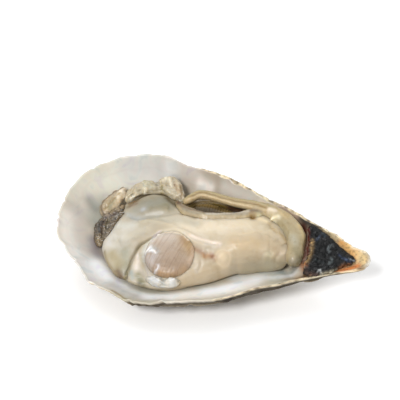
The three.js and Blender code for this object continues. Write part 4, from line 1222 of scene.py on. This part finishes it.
# ---------------------------------------------------------------- gills
# The leaves of the gills, seen down the slot between the two ropes: dark olive, ribbed
# across, always in shade. Their nearly black paint is partly their own olive and partly
# painted shade. They are thin sheets of fine threads, grown to the body.
RIB_HEIGHT, RIB_SPACING = 0.1, 0.9
leaves = clay("gill_leaves", "gills", voxel=0.22, relax=4, swell=0.15)
points = in_shell(coordinates(leaves))
ribs = RIB_HEIGHT * np.sin(points[:, 0] * 2 * pi / RIB_SPACING) * smooth((points[:, 2] + 3) / 1)
move(leaves, coordinates(leaves) + coordinates(leaves, "normal") * ribs[:, None] * MM)
GILL_TINTS = [("705d39", 3.0, 0.95, [(3, 12), (7, 12)]), ("7f6a40", 1.2, 0.9, [(-7, 13.4), (-1.4, 13.9)])]
gill_flesh = wet_flesh("wet_gills", roughness=0.35, glow=0.1, mottle=0.6, mottle_size=1.0)
dress(leaves, painted(points, "3a2d11", GILL_TINTS), gill_flesh, "gills")

# ---------------------------------------------------------------- ligament
# The hinge's spring: a pad of horny protein that pushed the two valves apart. Torn open it is
# blue-black and crazed, with glassy chips, over a red-brown and tan layer along its inner side.
PLATE_SIZE = 2.1  # of the crazed plates
BACK_OUTLINE = [(33.4, 9.4), (40, 5), (46, 0.4), (49, -1.6)]
ligament = clay("hinge_ligament", "ligament", voxel=0.26, relax=3, swell=0.25)
co = coordinates(ligament)
points = in_shell(co)
plates = points / PLATE_SIZE + 0.4 * grain(points, 1.5)[:, None]
cells = np.array([noise.voronoi(Vector(p))[0][:2] for p in plates])
crack = smooth((cells[:, 1] - cells[:, 0]) / 0.35)  # 0 in a crack, 1 on a plate
ridges = np.abs(grain(points, 2.6, 4.4))
lift = 0.55 * (crack - 0.6) + 0.7 * (0.3 - ridges) + 0.25 * grain(points, 0.9, 9)
lift *= smooth((points[:, 2] + 0.9) / 0.6)
to_outline, _ = near_line(points, BACK_OUTLINE, reach=3)
lift *= 0.25 + 0.75 * smooth(to_outline / 1.6)
move(ligament, co + coordinates(ligament, "normal") * lift[:, None] * MM)
LIGAMENT_TINTS = [
    # Grey and blue-grey patches and white flecks: painted glints on the glassy chips.
    ("7d8486", 0.4, 0.85, [(39.8, 2.6), (39, 0.9), (39.6, -0.6)]),
    ("6d7677", 0.4, 0.8, [(40.4, -2.6), (41.2, -4), (40.2, -5)]),
    ("39465c", 0.5, 0.85, [(35.4, 5.4), (34.6, 3.6)]),
    ("2f4450", 0.45, 0.8, [(36.2, 7), (37, 5.6)]),
    ("4c5a78", 0.45, 0.85, [(43, -1), (45.3, -2.6), (47, -2.6)]),
    ("c3c9cf", 0.25, 0.9, [(46.4, -1.9), (47.6, -2.1), (48.6, -2.2)]),
    ("2c3436", 0.5, 0.7, [(36, -4.6), (38.6, -5.2)]),
    # A white fleck: painted glint.
    ("eef0ee", 0.28, 0.95, [(37, -9), (37.6, -7.8), (38.2, -9)]),
    ("e08d48", 0.8, 1.0, [(44.4, -6), (46, -5), (48.6, -3.9)]),
    ("e2d4b2", 0.7, 0.95, [(38.6, -9.5), (40.6, -8.8), (42.6, -7.6), (43.6, -7)]),
    ("a8642c", 0.6, 0.95, [(32.5, -5.8), (32.8, -7.2)]),
    # White on the orange knob: painted highlight.
    ("f0dcc0", 0.22, 0.9, [(32.2, -6.4), (32.6, -7.8)]),
    ("7a5a34", 0.45, 0.75, [(33.2, -9.6), (35.4, -10.6)]),
    ("b5925f", 0.65, 0.95, [(33.2, 3.4), (33.5, 1.6), (33.7, -0.6), (33.6, -3.3), (33.2, -5.4)]),
    ("7a2a14", 0.5, 0.9, [(31, 8.5), (31.8, 5), (32.3, 1), (32.4, -2)]),
    ("54372a", 0.8, 0.8, [(33, -7.6), (33.6, -9.6), (37, -9.6)]),
]
horn, tree, shader = new_material("torn_horny_ligament")
position = add_node(tree, "TexCoord", out="Object")
tint = add_node(tree, "Attribute", attribute_name="tint")
chip_size = {"Vector": position, "Scale": 1 / (1.5 * MM), "Detail": 4.0, "Roughness": 0.6}
chip = add_node(tree, "TexNoise", chip_size)
tones = [(0.35, "24272c"), (0.5, "6f7478"), (0.6, "ffffff"), (0.72, "d9e4ee")]
glassy = {"Value": chip, "From Min": 0.45, "From Max": 0.7, "To Min": 0.6, "To Max": 0.1}
horn_looks = {
    "Base Color": patterned(tree, tint, [(chip, 0.6, tones)]),
    "Specular IOR Level": 0.35,
    "Roughness": add_node(tree, "MapRange", glassy),
    "Normal": add_node(tree, "Bump", {"Height": chip, "Strength": 1.0, "Distance": 0.7 * MM}),
}
set_inputs(tree, shader, horn_looks)
tint = painted(points, "07090b", LIGAMENT_TINTS) * (0.45 + 0.55 * crack)[:, None]
dress(ligament, tint, horn, "ligament")
